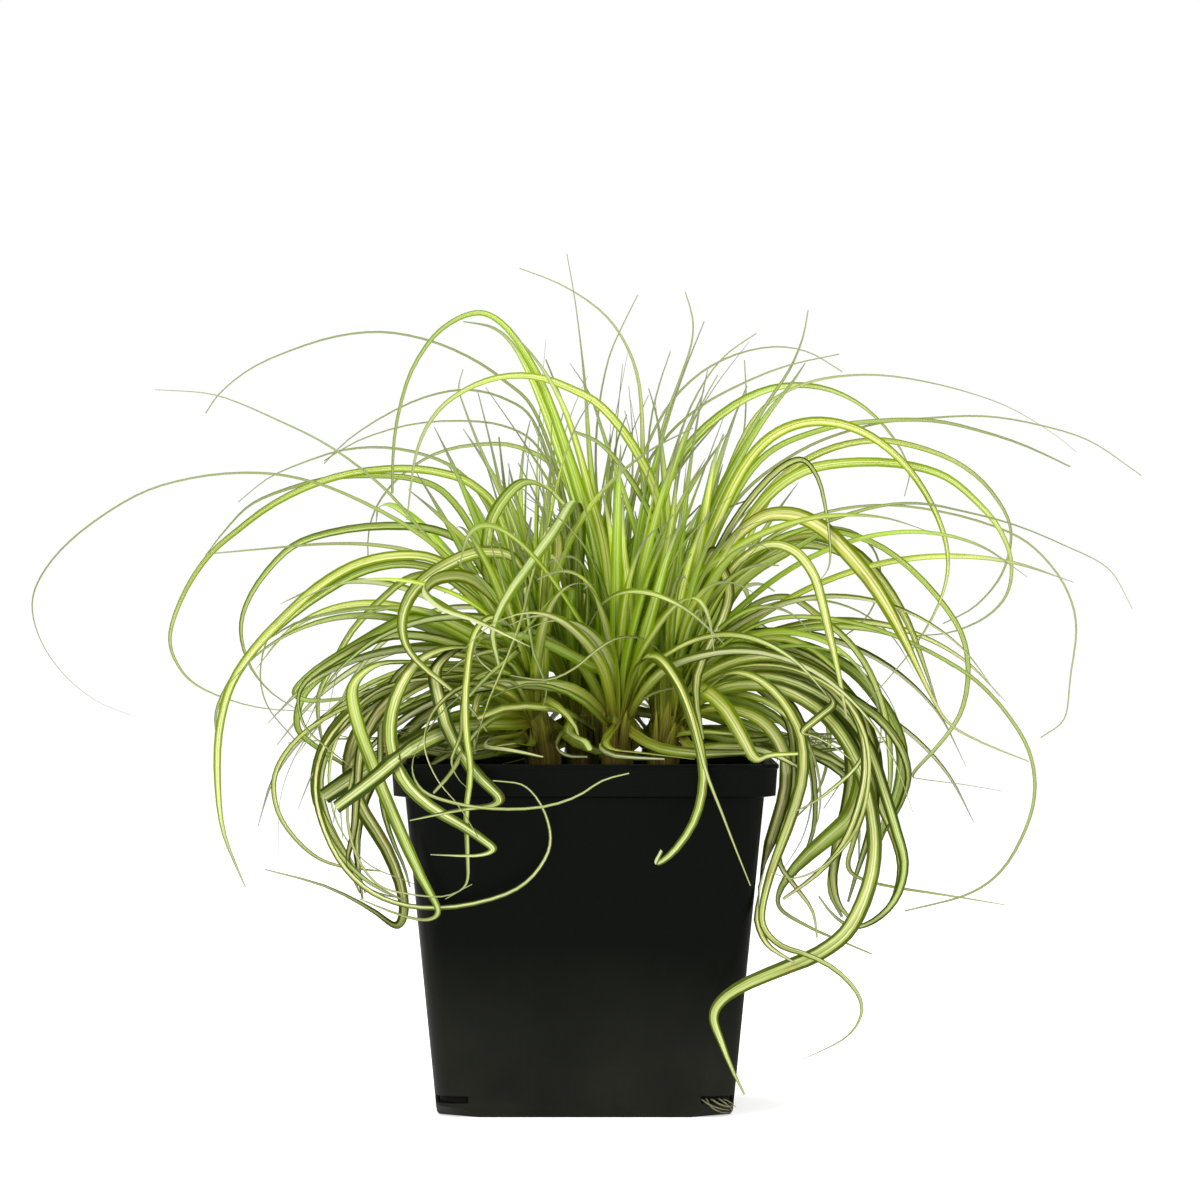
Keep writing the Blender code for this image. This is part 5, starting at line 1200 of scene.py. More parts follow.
# The blades that fill the clump between the traced ones: how many, how steeply they leave the
# crown, how long they are, how far they bend over, and how wide they are, as (low, high)
FILL = {
    "upright": (32, (64, 88), (75, 118), (5, 35), (4.0, 5.4)),
    "arching": (28, (45, 78), (120, 180), (70, 135), (3.4, 5.0)),
    "hanging": (18, (20, 48), (110, 160), (85, 120), (3.8, 5.4)),
}
FILL_SHOOTS = ("middle", "inner", "rear", "rear_left", "rear_right")
FILL_MIDDLE = (8, 7)
FILL_HEADING_SPREAD = 58
FILL_UPWARD = 0.7
FILL_TWIST = 80
FILL_TRIES = 16
FILL_SEED = 41
TRACED_TILT = 42
TRACED_TWIST = (30, 110)
GROWN_STEPS = 7
BEND_GATHER = 1.15
DRIFT_SPREAD = 26
# Filling blades leave the pot's front uncovered below this height, and reach no farther out
PARTED_BEFORE = -25
PARTED_HALF = 60.0
PARTED_ABOVE = 152.0
REACH_LIMIT = 172.0
# A blade lies down along the pot's wall within this many of its half widths
LAID_WITHIN = 1.6
LAID_SLOPE = 0.25

Blade = namedtuple("Blade", "shoot width facing twist age widths young_above", defaults=(YOUNG_ABOVE,))


def rooted(shoot, first):
    """The two points inside the shoot's stem that every blade starts from, leaning to its side."""
    foot, top = crown_at(shoot, CROWN_HEIGHT - 9), crown_at(shoot, CROWN_HEIGHT - 3)
    away = first - top
    away[2] = 0
    return [foot, top + away / max(np.linalg.norm(away), 1.0) * STEM_RADIUS * BLADE_ROOT]


def grown_route(shoot, heading, rise, over, drift, reach):
    """A blade by rule: it leaves the crown at a slope, bends over evenly, and wanders sideways."""
    points = [crown_at(shoot, CROWN_HEIGHT + 2)]
    for i in range(GROWN_STEPS):
        share = (i + 0.5) / GROWN_STEPS
        pitch = math.radians(rise - over * share ** BEND_GATHER)
        turn = heading + math.radians(drift * share)
        level, up = math.cos(pitch), math.sin(pitch)
        step = np.array((level * math.cos(turn), level * math.sin(turn), up))
        points.append(points[-1] + step * reach / GROWN_STEPS)
    return [*rooted(shoot, points[1].copy()), *points[1:]]


def on_sight_line(x, y, z):
    """A point drawn on the front plane, carried along the line of sight to its own depth."""
    share = (y - EYE.y) / (FRONT - EYE.y)
    return np.array((EYE.x + (x - EYE.x) * share, y, EYE.z + (z - EYE.z) * share))


def traced_routes(shoot, middle, tip, drawn):
    """A drawn blade's route at each depth that may be tried, the drawn depth first."""
    start = crown_at(shoot, CROWN_HEIGHT)[1]
    depths = np.interp(np.linspace(0, 1, len(drawn)), (-0.12, 0.5, 1), (start, middle, tip))
    bulge = np.minimum(1, np.linspace(0.15, 2.0, len(drawn)))
    routes = []
    for shift in DEPTH_TRIES:
        route = [on_sight_line(x, y + shift * b, z) for (x, z), y, b in zip(drawn, depths, bulge)]
        routes.append([*rooted(shoot, route[0].copy()), *route])
    return routes


def fill_route(shoot, kind, draw):
    _, slope, length, bend, _ = FILL[kind]
    (x, y), _ = SHOOTS[shoot]
    outward = math.degrees(math.atan2(y - FILL_MIDDLE[1], x - FILL_MIDDLE[0]))
    heading = math.radians(outward + draw.gauss(0, FILL_HEADING_SPREAD))
    rise, reach = draw.uniform(*slope), draw.uniform(*length)
    over, drift = draw.uniform(*bend), draw.gauss(0, DRIFT_SPREAD)
    return grown_route(shoot, heading, rise, over, drift, reach)


def in_habit(route):
    """True where a filling blade keeps within the clump and leaves the pot's front uncovered."""
    for x, y, z in route[2:]:
        parted = y < PARTED_BEFORE and abs(x) < PARTED_HALF and z < PARTED_ABOVE
        if parted or math.hypot(x, y) > REACH_LIMIT:
            return False
    return True


def packed_width(share):
    """The share of its full width that a packed blade has at a share of its length."""
    return min(1.0, 0.38 + 2.7 * share) * (1 - share ** 2.3) ** 1.05


def blade_mesh(blade, route, grow=0.0):
    """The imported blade's own three-sided mesh, used here only to test what a blade meets."""
    points, along, _ = smooth_route(route, FEWEST_STEPS)
    count, length = len(points) - 1, along[-1]
    sides, tangents = side_vectors(points, blade.facing, blade.twist)
    verts, faces = [], [(2, 1, 0)]
    for i in range(count):
        wide = max(LEAST_WIDE, blade.width * packed_width(along[i] / length)) + grow * 2
        deep = max(LEAST_THICK, wide * KEEL_SHARE) + grow
        under = np.cross(sides[i], tangents[i])
        lift = under * deep * -0.35
        verts += [points[i] + sides[i] * wide / 2 + lift, points[i] + under * deep + lift,
                  points[i] - sides[i] * wide / 2 + lift]
    verts.append(points[-1])
    tip = len(verts) - 1
    for i in range(count - 1):
        low, high = 3 * i, 3 * (i + 1)
        for a, b in ((0, 1), (1, 2), (2, 0)):
            faces += [(low + a, low + b, high + b), (low + a, high + b, high + a)]
    last = 3 * (count - 1)
    faces += [(last, last + 1, tip), (last + 1, last + 2, tip), (last + 2, last, tip)]
    return verts, faces, length


def tree_of(verts, faces, skip=0):
    """A search tree of the blade, without the faces of its first rings if skip says so."""
    kept = [f for f in faces if min(f) >= 3 * skip]
    return BVHTree.FromPolygons([Vector(v) for v in verts], kept or faces[-3:])


def free_rings(verts, length):
    """How many of a blade's rings lie so near the crown that it may cross its own shoot there."""
    return int(math.ceil(FREE_LENGTH / length * ((len(verts) - 1) // 3)))


class Clump:
    """The blades taken so far, with what each new blade must stay clear of."""

    def __init__(self, solids):
        self.solids = [BVHTree.FromPolygons([vert.co for vert in mesh.vertices],
                                            [tuple(face.vertices) for face in mesh.polygons])
                       for mesh in solids]
        self.trees = {name: [] for name in SHOOTS}
        self.grown = []

    def touches(self, blade, route):
        """2 where the blade meets another piece, 1 where it only crosses its own shoot, else 0."""
        verts, faces, length = blade_mesh(blade, route, CLEARANCE)
        metres = [Vector(v) * MM for v in verts]
        if any(BVHTree.FromPolygons(metres, faces).overlap(solid) for solid in self.solids):
            return 2
        whole = tree_of(verts, faces)
        for other, blades in self.trees.items():
            if other != blade.shoot and any(whole.overlap(taken) for taken, _ in blades):
                return 2
        free = tree_of(verts, faces, free_rings(verts, length))
        return int(any(free.overlap(outer) for _, outer in self.trees[blade.shoot]))

    def take(self, blade, route):
        verts, faces, length = blade_mesh(blade, route)
        outer = tree_of(verts, faces, free_rings(verts, length))
        self.trees[blade.shoot].append((tree_of(verts, faces), outer))
        self.grown.append((blade, route))

    def try_blade(self, blade, routes):
        """Takes the first route that is clear of all, or else one that only crosses its own shoot."""
        fallback = None
        for route in routes:
            state = self.touches(blade, route)
            if state == 0:
                return self.take(blade, route)
            if state == 1 and fallback is None:
                fallback = route
        if fallback is not None:
            self.take(blade, fallback)

    def newly_grown(self):
        """The blades taken since this was last asked, in the order in which they grew."""
        grown, self.grown = self.grown, []
        return grown


def facing_front(draw, tilt, up=0.0):
    """Towards the viewer, tilted up or down by chance."""
    turn = math.radians(draw.uniform(-tilt, tilt))
    return np.array((0.0, -math.cos(turn), math.sin(turn) + up))


def facing_round(draw, up):
    """Towards any side by chance, and somewhat upwards."""
    turn = draw.uniform(-math.pi, math.pi)
    return np.array((math.cos(turn), math.sin(turn), up))


def twisted(draw, most):
    return math.radians(draw.uniform(-most, most))


def grow_packed_blades():
    """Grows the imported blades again, in the same order and from the same draws."""
    draw = random.Random(FILL_SEED)
    for shoot, width, middle, tip, age, widths, drawn in TRACED.values():
        facing = facing_front(draw, TRACED_TILT)
        twist = math.radians(draw.choice((-1, 1)) * draw.uniform(*TRACED_TWIST))
        blade = Blade(shoot, width, facing, twist, age, widths)
        clump.try_blade(blade, traced_routes(shoot, middle, tip, drawn))
    for kind, (count, _, _, _, widths) in FILL.items():
        for i in range(count):
            shoot = FILL_SHOOTS[i % len(FILL_SHOOTS)]
            width = draw.uniform(*widths)
            facing = facing_round(draw, FILL_UPWARD)
            blade = Blade(shoot, width, facing, twisted(draw, FILL_TWIST), None, width)
            routes = [fill_route(shoot, kind, draw) for _ in range(FILL_TRIES)]
            clump.try_blade(blade, [route for route in routes if in_habit(route)])


def age_of(blade, route):
    """0 where a blade is young and stands up, 1 where it is old and hangs."""
    if blade.age is not None:
        return blade.age
    height = np.mean([point[2] for point in route[3:]])
    chance = ages.uniform(-AGE_SPREAD, AGE_SPREAD)
    return float(np.clip((blade.young_above - height) / AGE_FALL + chance, 0, 1))


def laid_on_pot(path, pot_tree):
    """Where a blade passes close by the pot, its face lies along the wall and it stays clear of it."""
    ways = np.gradient(path["points"], axis=0)
    for i, (point, way) in enumerate(zip(path["points"], ways)):
        _, normal, _, gap = pot_tree.find_nearest(Vector(point * MM))
        gap = gap / MM - CLEARANCE
        half = path["widths"][i] / 2
        if gap > half * LAID_WITHIN:
            continue
        side = path["sides"][i]
        flat = np.cross(way, normal)
        flat *= math.copysign(1 / max(np.linalg.norm(flat), 1e-6), flat @ side)
        side = side + (flat - side) * min(1.0, LAID_WITHIN - gap / half)
        side /= np.linalg.norm(side)
        path["sides"][i] = side
        path["widths"][i] = min(half, gap / max(abs(side @ np.array(normal)), LAID_SLOPE)) * 2
    path["widths"] = np.maximum(path["widths"], TIP_WIDE)
    return path


def leaf_paths():
    """The fine paths of the newly grown blades, each with its shoot."""
    made = []
    for blade, route in clump.newly_grown():
        age = age_of(blade, route)
        path = fine_path(route, blade.widths, blade.facing, blade.twist, age, ages.random())
        made.append((blade.shoot, laid_on_pot(path, clump.solids[0])))
    return made


def stem_path(shoot):
    """The short stem inside the sheaths, from which the shoot's blades part."""
    head = CROWN_HEIGHT + STEM_HEAD
    levels = np.linspace(STEM_FOOT, head, 10)
    points = np.array([crown_at(shoot, z) for z in levels])
    widths = np.interp(levels, (STEM_FOOT, CROWN_HEIGHT, head), (7.4, 9.4, 4.0))
    return post_path(points, widths, levels - STEM_FOOT, 0.6, 0.4)


def leaf_upper(tree, old, veins, across, edge):
    """The upper face: a pale channel between green sides, with painted shade along the midrib's crease, and
    veins.
    """
    far = grey_ramp(tree, attribute_value(tree, "along"), *FAR_FADE)
    side = mix(tree, maths(tree, "MULTIPLY", far, 0.35), ramp(tree, old, LEAF_SIDE), FAR_SIDE)
    pale = mix(tree, maths(tree, "MULTIPLY", far, 0.60), ramp(tree, old, LEAF_PALE), FAR_PALE)
    base = mix(tree, grey_ramp(tree, edge, *CHANNEL_FADE), side, pale)
    veined = multiply(tree, base, ramp(tree, veins, VEINS))
    base = mix(tree, maths(tree, "MULTIPLY_ADD", old, 0.45, 0.45), base, veined)
    # Painted shade: a thin darker line along the midrib's crease at the bottom of the channel
    return multiply(tree, base, ramp(tree, across, MIDRIB_CREASE_SHADE))


def leaf_wear(tree, base, age, reach, veins):
    """Over the stripes: a chance tint, grey where hair thin, painted shade in dark olive at the foot, and
    brown stains.
    """
    base = multiply(tree, base, ramp(tree, attribute_value(tree, "tint"), TINTS))
    hair = maths(tree, "MULTIPLY_ADD", attribute_value(tree, "wide"), *HAIR_BELOW, clamp=True)
    hair = maths(tree, "MULTIPLY", hair, maths(tree, "MULTIPLY_ADD", age, -0.7, 0.95))
    base = mix(tree, hair, base, HAIR_GREY)
    # Painted shade deep in the crown: the first few centimetres of each blade, and the stems, go dark olive,
    # streaked along the veins
    foot = grey_ramp(tree, maths(tree, "MULTIPLY", reach, 25.0), *FOOT_SHADE_FADE)
    base = mix(tree, foot, base, ramp(tree, veins, FOOT_SHADE_OLIVE))
    stains = grey_ramp(tree, lines_along(tree, lines=2.2, run=42.0), *STAIN_FADE)
    return mix(tree, maths(tree, "MULTIPLY", stains, age), base, STAIN_BROWN)


def leaf():
    """Striped blade: a pale channel between green margins, with fine veins that run its length.
    It turns from lime to cream with dark margins by age, dark olive with painted shade at its foot
    in the crown, grey where it is hair thin, with painted shade along the midrib's crease;
    underneath it is duller while young and paler when old."""
    made, tree, shader = new_material("leaf", roughness=0.46, specular=0.10)
    age, reach = attribute_value(tree, "age"), attribute_value(tree, "reach")
    veins = lines_along(tree, lines=3.2, run=10.0)
    streaks = lines_along(tree, lines=1.6, run=24.0)
    old = maths(tree, "MULTIPLY", maths(tree, "MULTIPLY_ADD", reach, *AGEING, clamp=True), age)
    across = maths(tree, "ABSOLUTE", attribute_value(tree, "across"))
    edge = maths(tree, "MULTIPLY_ADD", maths(tree, "SUBTRACT", streaks, 0.5), 0.8, across)
    edge = maths(tree, "MULTIPLY_ADD", old, 0.10, edge)
    base = leaf_upper(tree, old, veins, across, edge)
    under = maths(tree, "MULTIPLY_ADD", attribute_value(tree, "upper"), -3.0, 0.5, clamp=True)
    under = maths(tree, "MULTIPLY", under, maths(tree, "MULTIPLY_ADD", old, 0.40, 0.28))
    base = mix(tree, under, base, ramp(tree, old, LEAF_UNDER))
    base = mix(tree, grey_ramp(tree, edge, *MARGIN_FADE), base, ramp(tree, old, LEAF_MARGIN))
    feed(tree, shader.inputs["Base Color"], leaf_wear(tree, base, age, reach, veins))
    feed(tree, shader.inputs["Roughness"], maths(tree, "MULTIPLY_ADD", veins, 0.2, 0.34))
    bump(tree, shader, veins, strength=0.2, distance=0.00015)
    return made


leaf_finish = leaf()
ages = random.Random(AGE_SEED)
solid_names = ["pot", "potting_soil", *(f"sheath_{shoot}" for shoot in SHOOTS)]
clump = Clump([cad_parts[name].data for name in solid_names])
grow_packed_blades()
tuft_paths = leaf_paths()

for shoot in SHOOTS:
    own = [path for at_shoot, path in tuft_paths if at_shoot == shoot]
    blades = swept(f"blades_{shoot}", own, leaf_finish, CHANNEL, THICKNESS, SECTION_POINTS)
    stem = swept(f"stem_{shoot}", [stem_path(shoot)], leaf_finish, 0.0, 1.0, 16)
    tuft = joined(f"tuft_{shoot}", [blades, stem])
    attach(tuft, "root")
    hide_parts(f"shoot_{shoot}")


# Blades between
# More leaves between those of the tufts: ones that show in the photo, the oldest ones that lie
# over the soil and the rim, and low ones at the sides and behind. They grow from the same stems,
# and lie clear of all the others.

BETWEEN_SEED = 31
BETWEEN_TILT = 38
BETWEEN_TWIST = 70
# The share of its greatest width at which such a blade is tested against the others
BETWEEN_TESTED_WIDTH = 0.85
# How a leaf drawn by rule narrows from its foot to its tip
SLENDER = (0.62, 1.0, 1.0, 0.94, 0.70, 0.38, 0.19, 0.10)

# The oldest leaves: their widths, their tilts in radians, how far along and how deep they lie,
# how high, how far from the crown they land, and how their last two points wander in height
RIM_LEAVES = 42
RIM_WIDTHS = (2.4, 4.4)
RIM_TILTS = (0.2, 1.2)
RIM_RUNS = (30, 80)
RIM_DEPTHS = (-14, 40)
RIM_HEIGHTS = (120.5, 127)
RIM_LANDINGS = (6, 14)
RIM_WANDER = ((-1, 3), (-3, 5))
RIM_TWIST = 60
RIM_TRIES = 14
RIM_SEED = 5

# The low blades that fill the sides above the rim: how many, from which shoots, towards which
# side in degrees, and (low, high) of slope, length, bend and width
LOW_FILL = [
    (12, ("left", "rear_left", "inner"), 180, (14, 66), (95, 185), (90, 230), (2.6, 4.8)),
    (10, ("right", "rear_right", "rear"), 0, (14, 66), (95, 185), (90, 230), (2.6, 4.8)),
    (12, ("middle", "inner", "rear"), 90, (8, 50), (60, 110), (60, 120), (2.8, 4.4)),
    (8, ("rear_left", "left", "inner"), 150, (-16, 10), (50, 90), (10, 60), (3.0, 4.6)),
    (8, ("rear_right", "rear", "right"), 30, (-16, 10), (50, 90), (10, 60), (3.0, 4.6)),
]
LOW_HEADING_SPREAD = 34
LOW_DRIFT_SPREAD = 62
LOW_TILT = 60
LOW_UPWARD = 0.4
LOW_TWIST = 80
LOW_YOUNG_ABOVE = 160.0
LOW_REACH = 118.0
LOWEST = 72.0
LOW_TRIES = 14
LOW_SEED = 23

# The further blades that show in the photo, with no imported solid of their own: shoot, mid depth,
# tip depth, age, widths from crown to tip, and route (x, z)
SEEN_BETWEEN = [
    ("left", -22, -30, 0.20, (4.0, 5.0, 5.0, 4.4, 3.0, 1.0), [
        (-24, 158), (-34, 163), (-44, 168), (-54, 172.5), (-66, 173.5), (-78, 170)]),
    ("inner", -24, -36, 0.10, (3.4, 3.8, 3.8, 3.8, 3.6, 3.2, 1.0), [
        (-3, 150), (-5, 162), (-5.5, 172), (-4.5, 179.5), (-9, 178), (-14, 173), (-19, 167),
        (-23, 160)]),
    ("inner", -12, -18, 0.15, (3.2, 3.6, 3.4, 3.0, 1.4), [
        (-6, 163), (-5, 177), (-1, 180), (3, 177), (7, 172), (9, 165)]),
    ("middle", -26, -36, 0.25, (4.0, 4.4, 4.2, 3.6, 3.0, 1.0), [
        (8, 150), (2, 154), (-6, 158), (-14, 162), (-24, 164.5), (-34, 164)]),
    ("middle", -28, -38, 0.90, (2.2, 2.4, 2.4, 2.2, 1.6, 0.6), [
        (8, 134), (4, 138), (-3, 143.5), (-12, 147), (-20, 147.5), (-28, 145), (-36, 141)]),
    ("inner", -19, -49, 0.70, (4.0, 4.6, 4.2, 3.4, 2.0), [
        (2, 133), (-3, 136.5), (-9, 138.8), (-17, 140), (-27, 139.5), (-36, 136)]),
    ("left", -24, -32, 0.90, (3.0, 3.6, 3.4, 2.6, 1.0), [
        (-20, 131), (-27, 131), (-35, 132.5), (-43, 131), (-50, 128)]),
    ("left", -30, -40, 0.95, (2.4, 2.8, 2.6, 1.2), [
        (-18, 127), (-23, 127.6), (-30, 126.6), (-38, 125)]),
    ("left", -38, -58, 1.00, (2.4, 2.8, 2.8, 2.2, 0.8), [
        (-22, 131), (-31, 129.5), (-33.5, 126.6), (-27, 125.6), (-20, 124.4), (-14, 123)]),
    ("left", -46, -58, 0.70, (2.6, 3.0, 3.0, 2.6, 1.2), [
        (-24, 148), (-33, 147), (-37, 140), (-37.5, 131), (-37, 124)]),
    ("left", -54, -76, 0.80, (2.6, 3.0, 3.0, 2.6, 1.6, 0.6), [
        (-24, 150), (-34, 151), (-40, 145), (-41.5, 137), (-42, 130), (-45, 122), (-43, 116),
        (-39, 112)]),
    ("left", -52, -74, 0.80, (2.6, 3.0, 3.0, 2.6, 1.2), [
        (-26, 138), (-34, 134), (-40, 127), (-45, 118), (-51, 111)]),
    ("left", -46, -54, 0.80, (1.6, 1.6, 1.2, 0.6), [
        (-26, 158), (-33, 163), (-37, 160), (-35.5, 155.5), (-31, 151.5)]),
    ("left", -30, -36, 0.80, (3.0, 3.0, 2.6, 2.0, 1.0), [
        (-18, 157), (-27, 159), (-35, 158), (-42, 155), (-47, 151)]),
    ("left", -40, -50, 0.60, (2.4, 2.8, 2.4, 1.4), [
        (-20, 158), (-27, 155), (-33, 150), (-39, 143.5)]),
    ("inner", -30, -46, 1.00, (1.8, 2.2, 2.2, 1.8, 1.0), [
        (-4, 134), (-8, 131), (-9.6, 127.4), (-8, 124.4), (-4, 123), (1, 123)]),
    ("inner", -38, -50, 0.60, (2.0, 3.2, 3.6, 3.4, 2.4), [
        (-3, 137), (-5.5, 132), (-3, 129.6), (0, 128.2), (1.8, 125.4)]),
    ("middle", -40, -46, 0.50, (1.6, 1.8, 1.6, 1.2, 0.6), [
        (13, 136), (17, 140.5), (22, 144), (28, 146), (33, 146)]),
    ("middle", -44, -58, 1.00, (2.2, 2.8, 2.8, 2.6, 2.2, 1.0), [
        (10, 133), (7, 128.5), (9, 125.6), (16, 124.6), (24, 123.8), (31, 122.8), (37, 122.2)]),
    ("middle", -50, -60, 1.00, (1.8, 2.4, 2.4, 2.2, 1.6, 0.8), [
        (9, 131), (5, 126.5), (9, 123.6), (15, 122.8), (21, 122.4), (27, 122.2)]),
    ("right", -30, -34, 0.85, (2.6, 3.0, 2.8, 2.0, 1.0), [
        (29, 130), (34, 131), (41, 131.4), (49, 131), (57, 130)]),
    ("rear_right", 12, 20, 0.90, (3.6, 4.4, 4.4, 3.6, 1.6), [
        (36, 131), (44, 131.3), (54, 130.3), (64, 128.5), (74, 126), (84, 122), (92, 117)]),
    ("rear_right", 24, 30, 0.90, (2.8, 3.2, 3.0, 2.4, 1.0), [
        (37, 133), (44, 133), (52, 132.6), (62, 131.8), (72, 129), (82, 125), (90, 119.5)]),
    ("right", -22, -26, 1.00, (3.2, 3.8, 3.8, 3.2, 1.2), [
        (36, 126), (46, 126.2), (56, 126), (66, 123), (75, 118)]),
    ("rear_right", 8, 6, 0.90, (3.0, 3.8, 3.8, 3.4, 2.6, 1.0), [
        (38, 150), (48, 160), (58, 162.5), (68, 160), (78, 155.5), (86, 149), (92, 140), (95, 130)]),
    ("right", -14, -20, 0.90, (3.2, 4.2, 4.4, 3.8, 2.8, 1.2), [
        (38, 146), (50, 152.5), (62, 154), (74, 150.5), (84, 144.5), (91, 137), (95, 128), (96, 118),
        (94, 108)]),
    ("right", -12, -20, 1.00, (2.6, 3.2, 3.2, 3.0, 3.0, 2.6, 1.2), [
        (40, 148), (52, 149.5), (60, 145), (67, 138), (70, 130), (70.5, 118), (69.5, 104), (67, 92)]),
    ("right", -30, -44, 0.95, (3.0, 3.8, 3.8, 3.6, 3.4, 3.2, 3.0, 2.2, 0.8), [
        (38, 144), (52, 151), (66, 151.5), (78, 147.5), (84, 141.5), (79, 136.5), (73.5, 131.5),
        (78, 129.8), (85, 126), (90, 122)]),
    ("right", -32, -48, 0.80, (2.6, 3.0, 3.0, 2.8, 2.4, 2.2, 1.8, 0.6), [
        (38, 146), (56, 153), (74, 151), (88, 140), (95, 128), (92, 120), (86, 114), (78, 108),
        (71, 104.5)]),
    ("left", -32, -46, 0.85, (2.4, 3.0, 3.0, 3.0, 3.2, 3.2, 2.6, 1.6, 0.5), [
        (-30, 150), (-52, 152), (-72, 144), (-84, 134), (-90, 122), (-91, 110), (-87, 100),
        (-81, 90), (-76, 81), (-70, 77), (-60, 75)]),
    ("left", -44, -66, 0.90, (2.2, 2.6, 2.6, 2.6, 2.4, 2.0, 0.6), [
        (-28, 152), (-48, 158), (-62, 152), (-68, 140), (-69, 127), (-69, 115), (-68, 105),
        (-65, 95), (-61, 86), (-59, 79)]),
    ("left", -44, -76, 0.60, (1.8, 1.6, 1.4, 1.2, 1.0, 0.8, 0.5), [
        (-26, 148), (-44, 150), (-62, 142), (-75, 126), (-80, 108), (-78, 92), (-70, 80),
        (-58, 76.5), (-47, 76), (-38, 80)]),
    ("left", -110, -118, 0.75, (1.8, 1.6, 1.4, 1.3, 1.2, 1.1, 0.9, 0.5), [
        (-24, 148), (-38, 146), (-50, 136), (-58, 122), (-55, 112), (-44, 107.5), (-30, 105.5),
        (-15, 106), (-3, 109.5), (6, 115), (15, 117.5)]),
    ("middle", -24, -28, 0.05, (5.0, 5.2, 4.8, 3.8, 2.4, 0.6), [
        (10, 150), (11.5, 165), (11, 182), (9, 198), (6, 213)]),
    ("middle", -20, -22, 0.10, (4.8, 5.2, 4.6, 3.6, 2.2, 0.6), [
        (14, 150), (15, 165), (14.5, 180), (13, 196), (13, 212)]),
    ("middle", -26, -30, 0.10, (4.6, 5.0, 4.6, 3.6, 2.2, 0.6), [
        (17, 150), (20, 163), (24, 177), (28, 191), (33, 204)]),
    ("middle", -14, -16, 0.15, (4.4, 4.8, 4.4, 3.4, 2.0, 0.6), [
        (19, 152), (24, 166), (28, 180), (31, 194), (33, 210)]),
    ("right", -22, -26, 0.10, (4.8, 5.2, 4.8, 3.6, 2.2, 0.6), [
        (28, 152), (30, 166), (33, 180), (37, 194), (42, 206)]),
    ("right", -26, -32, 0.15, (4.6, 5.0, 4.6, 3.4, 2.0, 0.6), [
        (32, 152), (36, 166), (41, 179), (47, 191), (54, 202)]),
    ("right", -12, -14, 0.05, (4.8, 5.2, 4.6, 3.4, 2.0, 0.6), [
        (26, 152), (25, 167), (26, 182), (29, 197), (33, 211)]),
    ("inner", -10, -14, 0.10, (4.6, 5.0, 4.6, 3.4, 2.0, 0.6), [
        (0, 152), (2, 167), (5, 182), (9, 196), (14, 208)]),
    ("inner", -8, -10, 0.15, (4.4, 4.8, 4.4, 3.4, 2.0, 0.6), [
        (-3, 152), (-8, 166), (-11, 180), (-13, 193), (-14, 206)]),
    ("left", -18, -24, 0.15, (4.4, 4.8, 4.4, 3.4, 2.0, 0.6), [
        (-18, 152), (-20, 166), (-21, 179), (-20, 192), (-18, 204)]),
    ("left", -16, -22, 0.20, (4.4, 4.8, 4.4, 3.4, 2.0, 0.6), [
        (-21, 152), (-27, 165), (-34, 177), (-40, 187), (-48, 195)]),
    ("left", -24, -34, 0.20, (4.2, 4.6, 4.2, 3.2, 1.8, 0.6), [
        (-19, 152), (-23, 164), (-28, 174), (-35, 183), (-43, 189)]),
    ("right", -34, -50, 0.95, (3.6, 4.8, 5.6, 6.2, 6.6, 6.6, 5.4, 3.0, 0.8), [
        (40, 150), (60, 156), (78, 150), (88, 136), (91, 120), (89, 105), (85.5, 93), (84, 82),
        (86, 73), (92, 66)]),
    ("right", -22, -36, 0.90, (2.6, 3.2, 3.2, 3.4, 3.4, 3.0, 1.0), [
        (40, 152), (66, 158), (88, 146), (97, 128), (99, 110), (104, 98), (107, 86), (104, 74),
        (96, 66.5), (88, 66)]),
    ("right", -40, -56, 0.85, (1.8, 1.8, 1.8, 1.6, 1.4, 0.6), [
        (42, 150), (64, 154), (84, 146), (94, 132), (96, 116), (92, 99), (82, 87), (71, 82), (63, 84)]),
    ("right", -16, -30, 1.00, (2.0, 2.4, 2.4, 2.2, 1.8, 0.8), [
        (38, 146), (54, 150), (66, 144), (74, 131), (77.5, 115), (77.5, 100), (74, 89), (71, 83)]),
    ("right", -28, -50, 0.95, (2.2, 2.6, 2.6, 2.4, 2.2, 1.8, 0.6), [
        (38, 144), (56, 148), (70, 140), (75, 126), (71, 110), (66, 97), (66, 87), (71, 79.5),
        (77, 71), (78.5, 62)]),
    ("right", -46, -60, 1.00, (3.0, 3.6, 3.8, 3.8, 3.4, 2.6, 1.0), [
        (40, 150), (60, 157), (80, 151), (92, 137), (95, 121), (92.5, 106), (87, 93), (78, 83),
        (67, 75)]),
    ("rear_right", 6, -6, 0.70, (2.6, 3.2, 3.6, 4.2, 4.6, 4.0, 1.4), [
        (42, 156), (66, 162), (88, 154), (101, 140), (107, 126), (106, 112), (101, 99), (97, 88)]),
    ("left", -10, -18, 0.95, (3.0, 3.8, 4.2, 4.4, 4.2, 3.4, 1.0), [
        (-28, 146), (-50, 150), (-66, 142), (-75, 128), (-77, 112), (-78, 98), (-80, 88), (-76, 77)]),
    ("left", -82, -90, 0.90, (2.4, 2.8, 2.8, 2.6, 2.2, 1.2), [
        (-24, 144), (-38, 148), (-50, 140), (-54, 128), (-50, 116), (-42, 106), (-36, 96)]),
    ("left", -34, -44, 0.85, (3.0, 3.6, 3.8, 3.6, 3.0, 2.0, 0.8), [
        (-26, 152), (-46, 162), (-66, 164), (-84, 156), (-96, 146), (-95, 134), (-87, 126),
        (-78, 119)]),
]


def slender(width):
    return tuple(width * share for share in SLENDER)


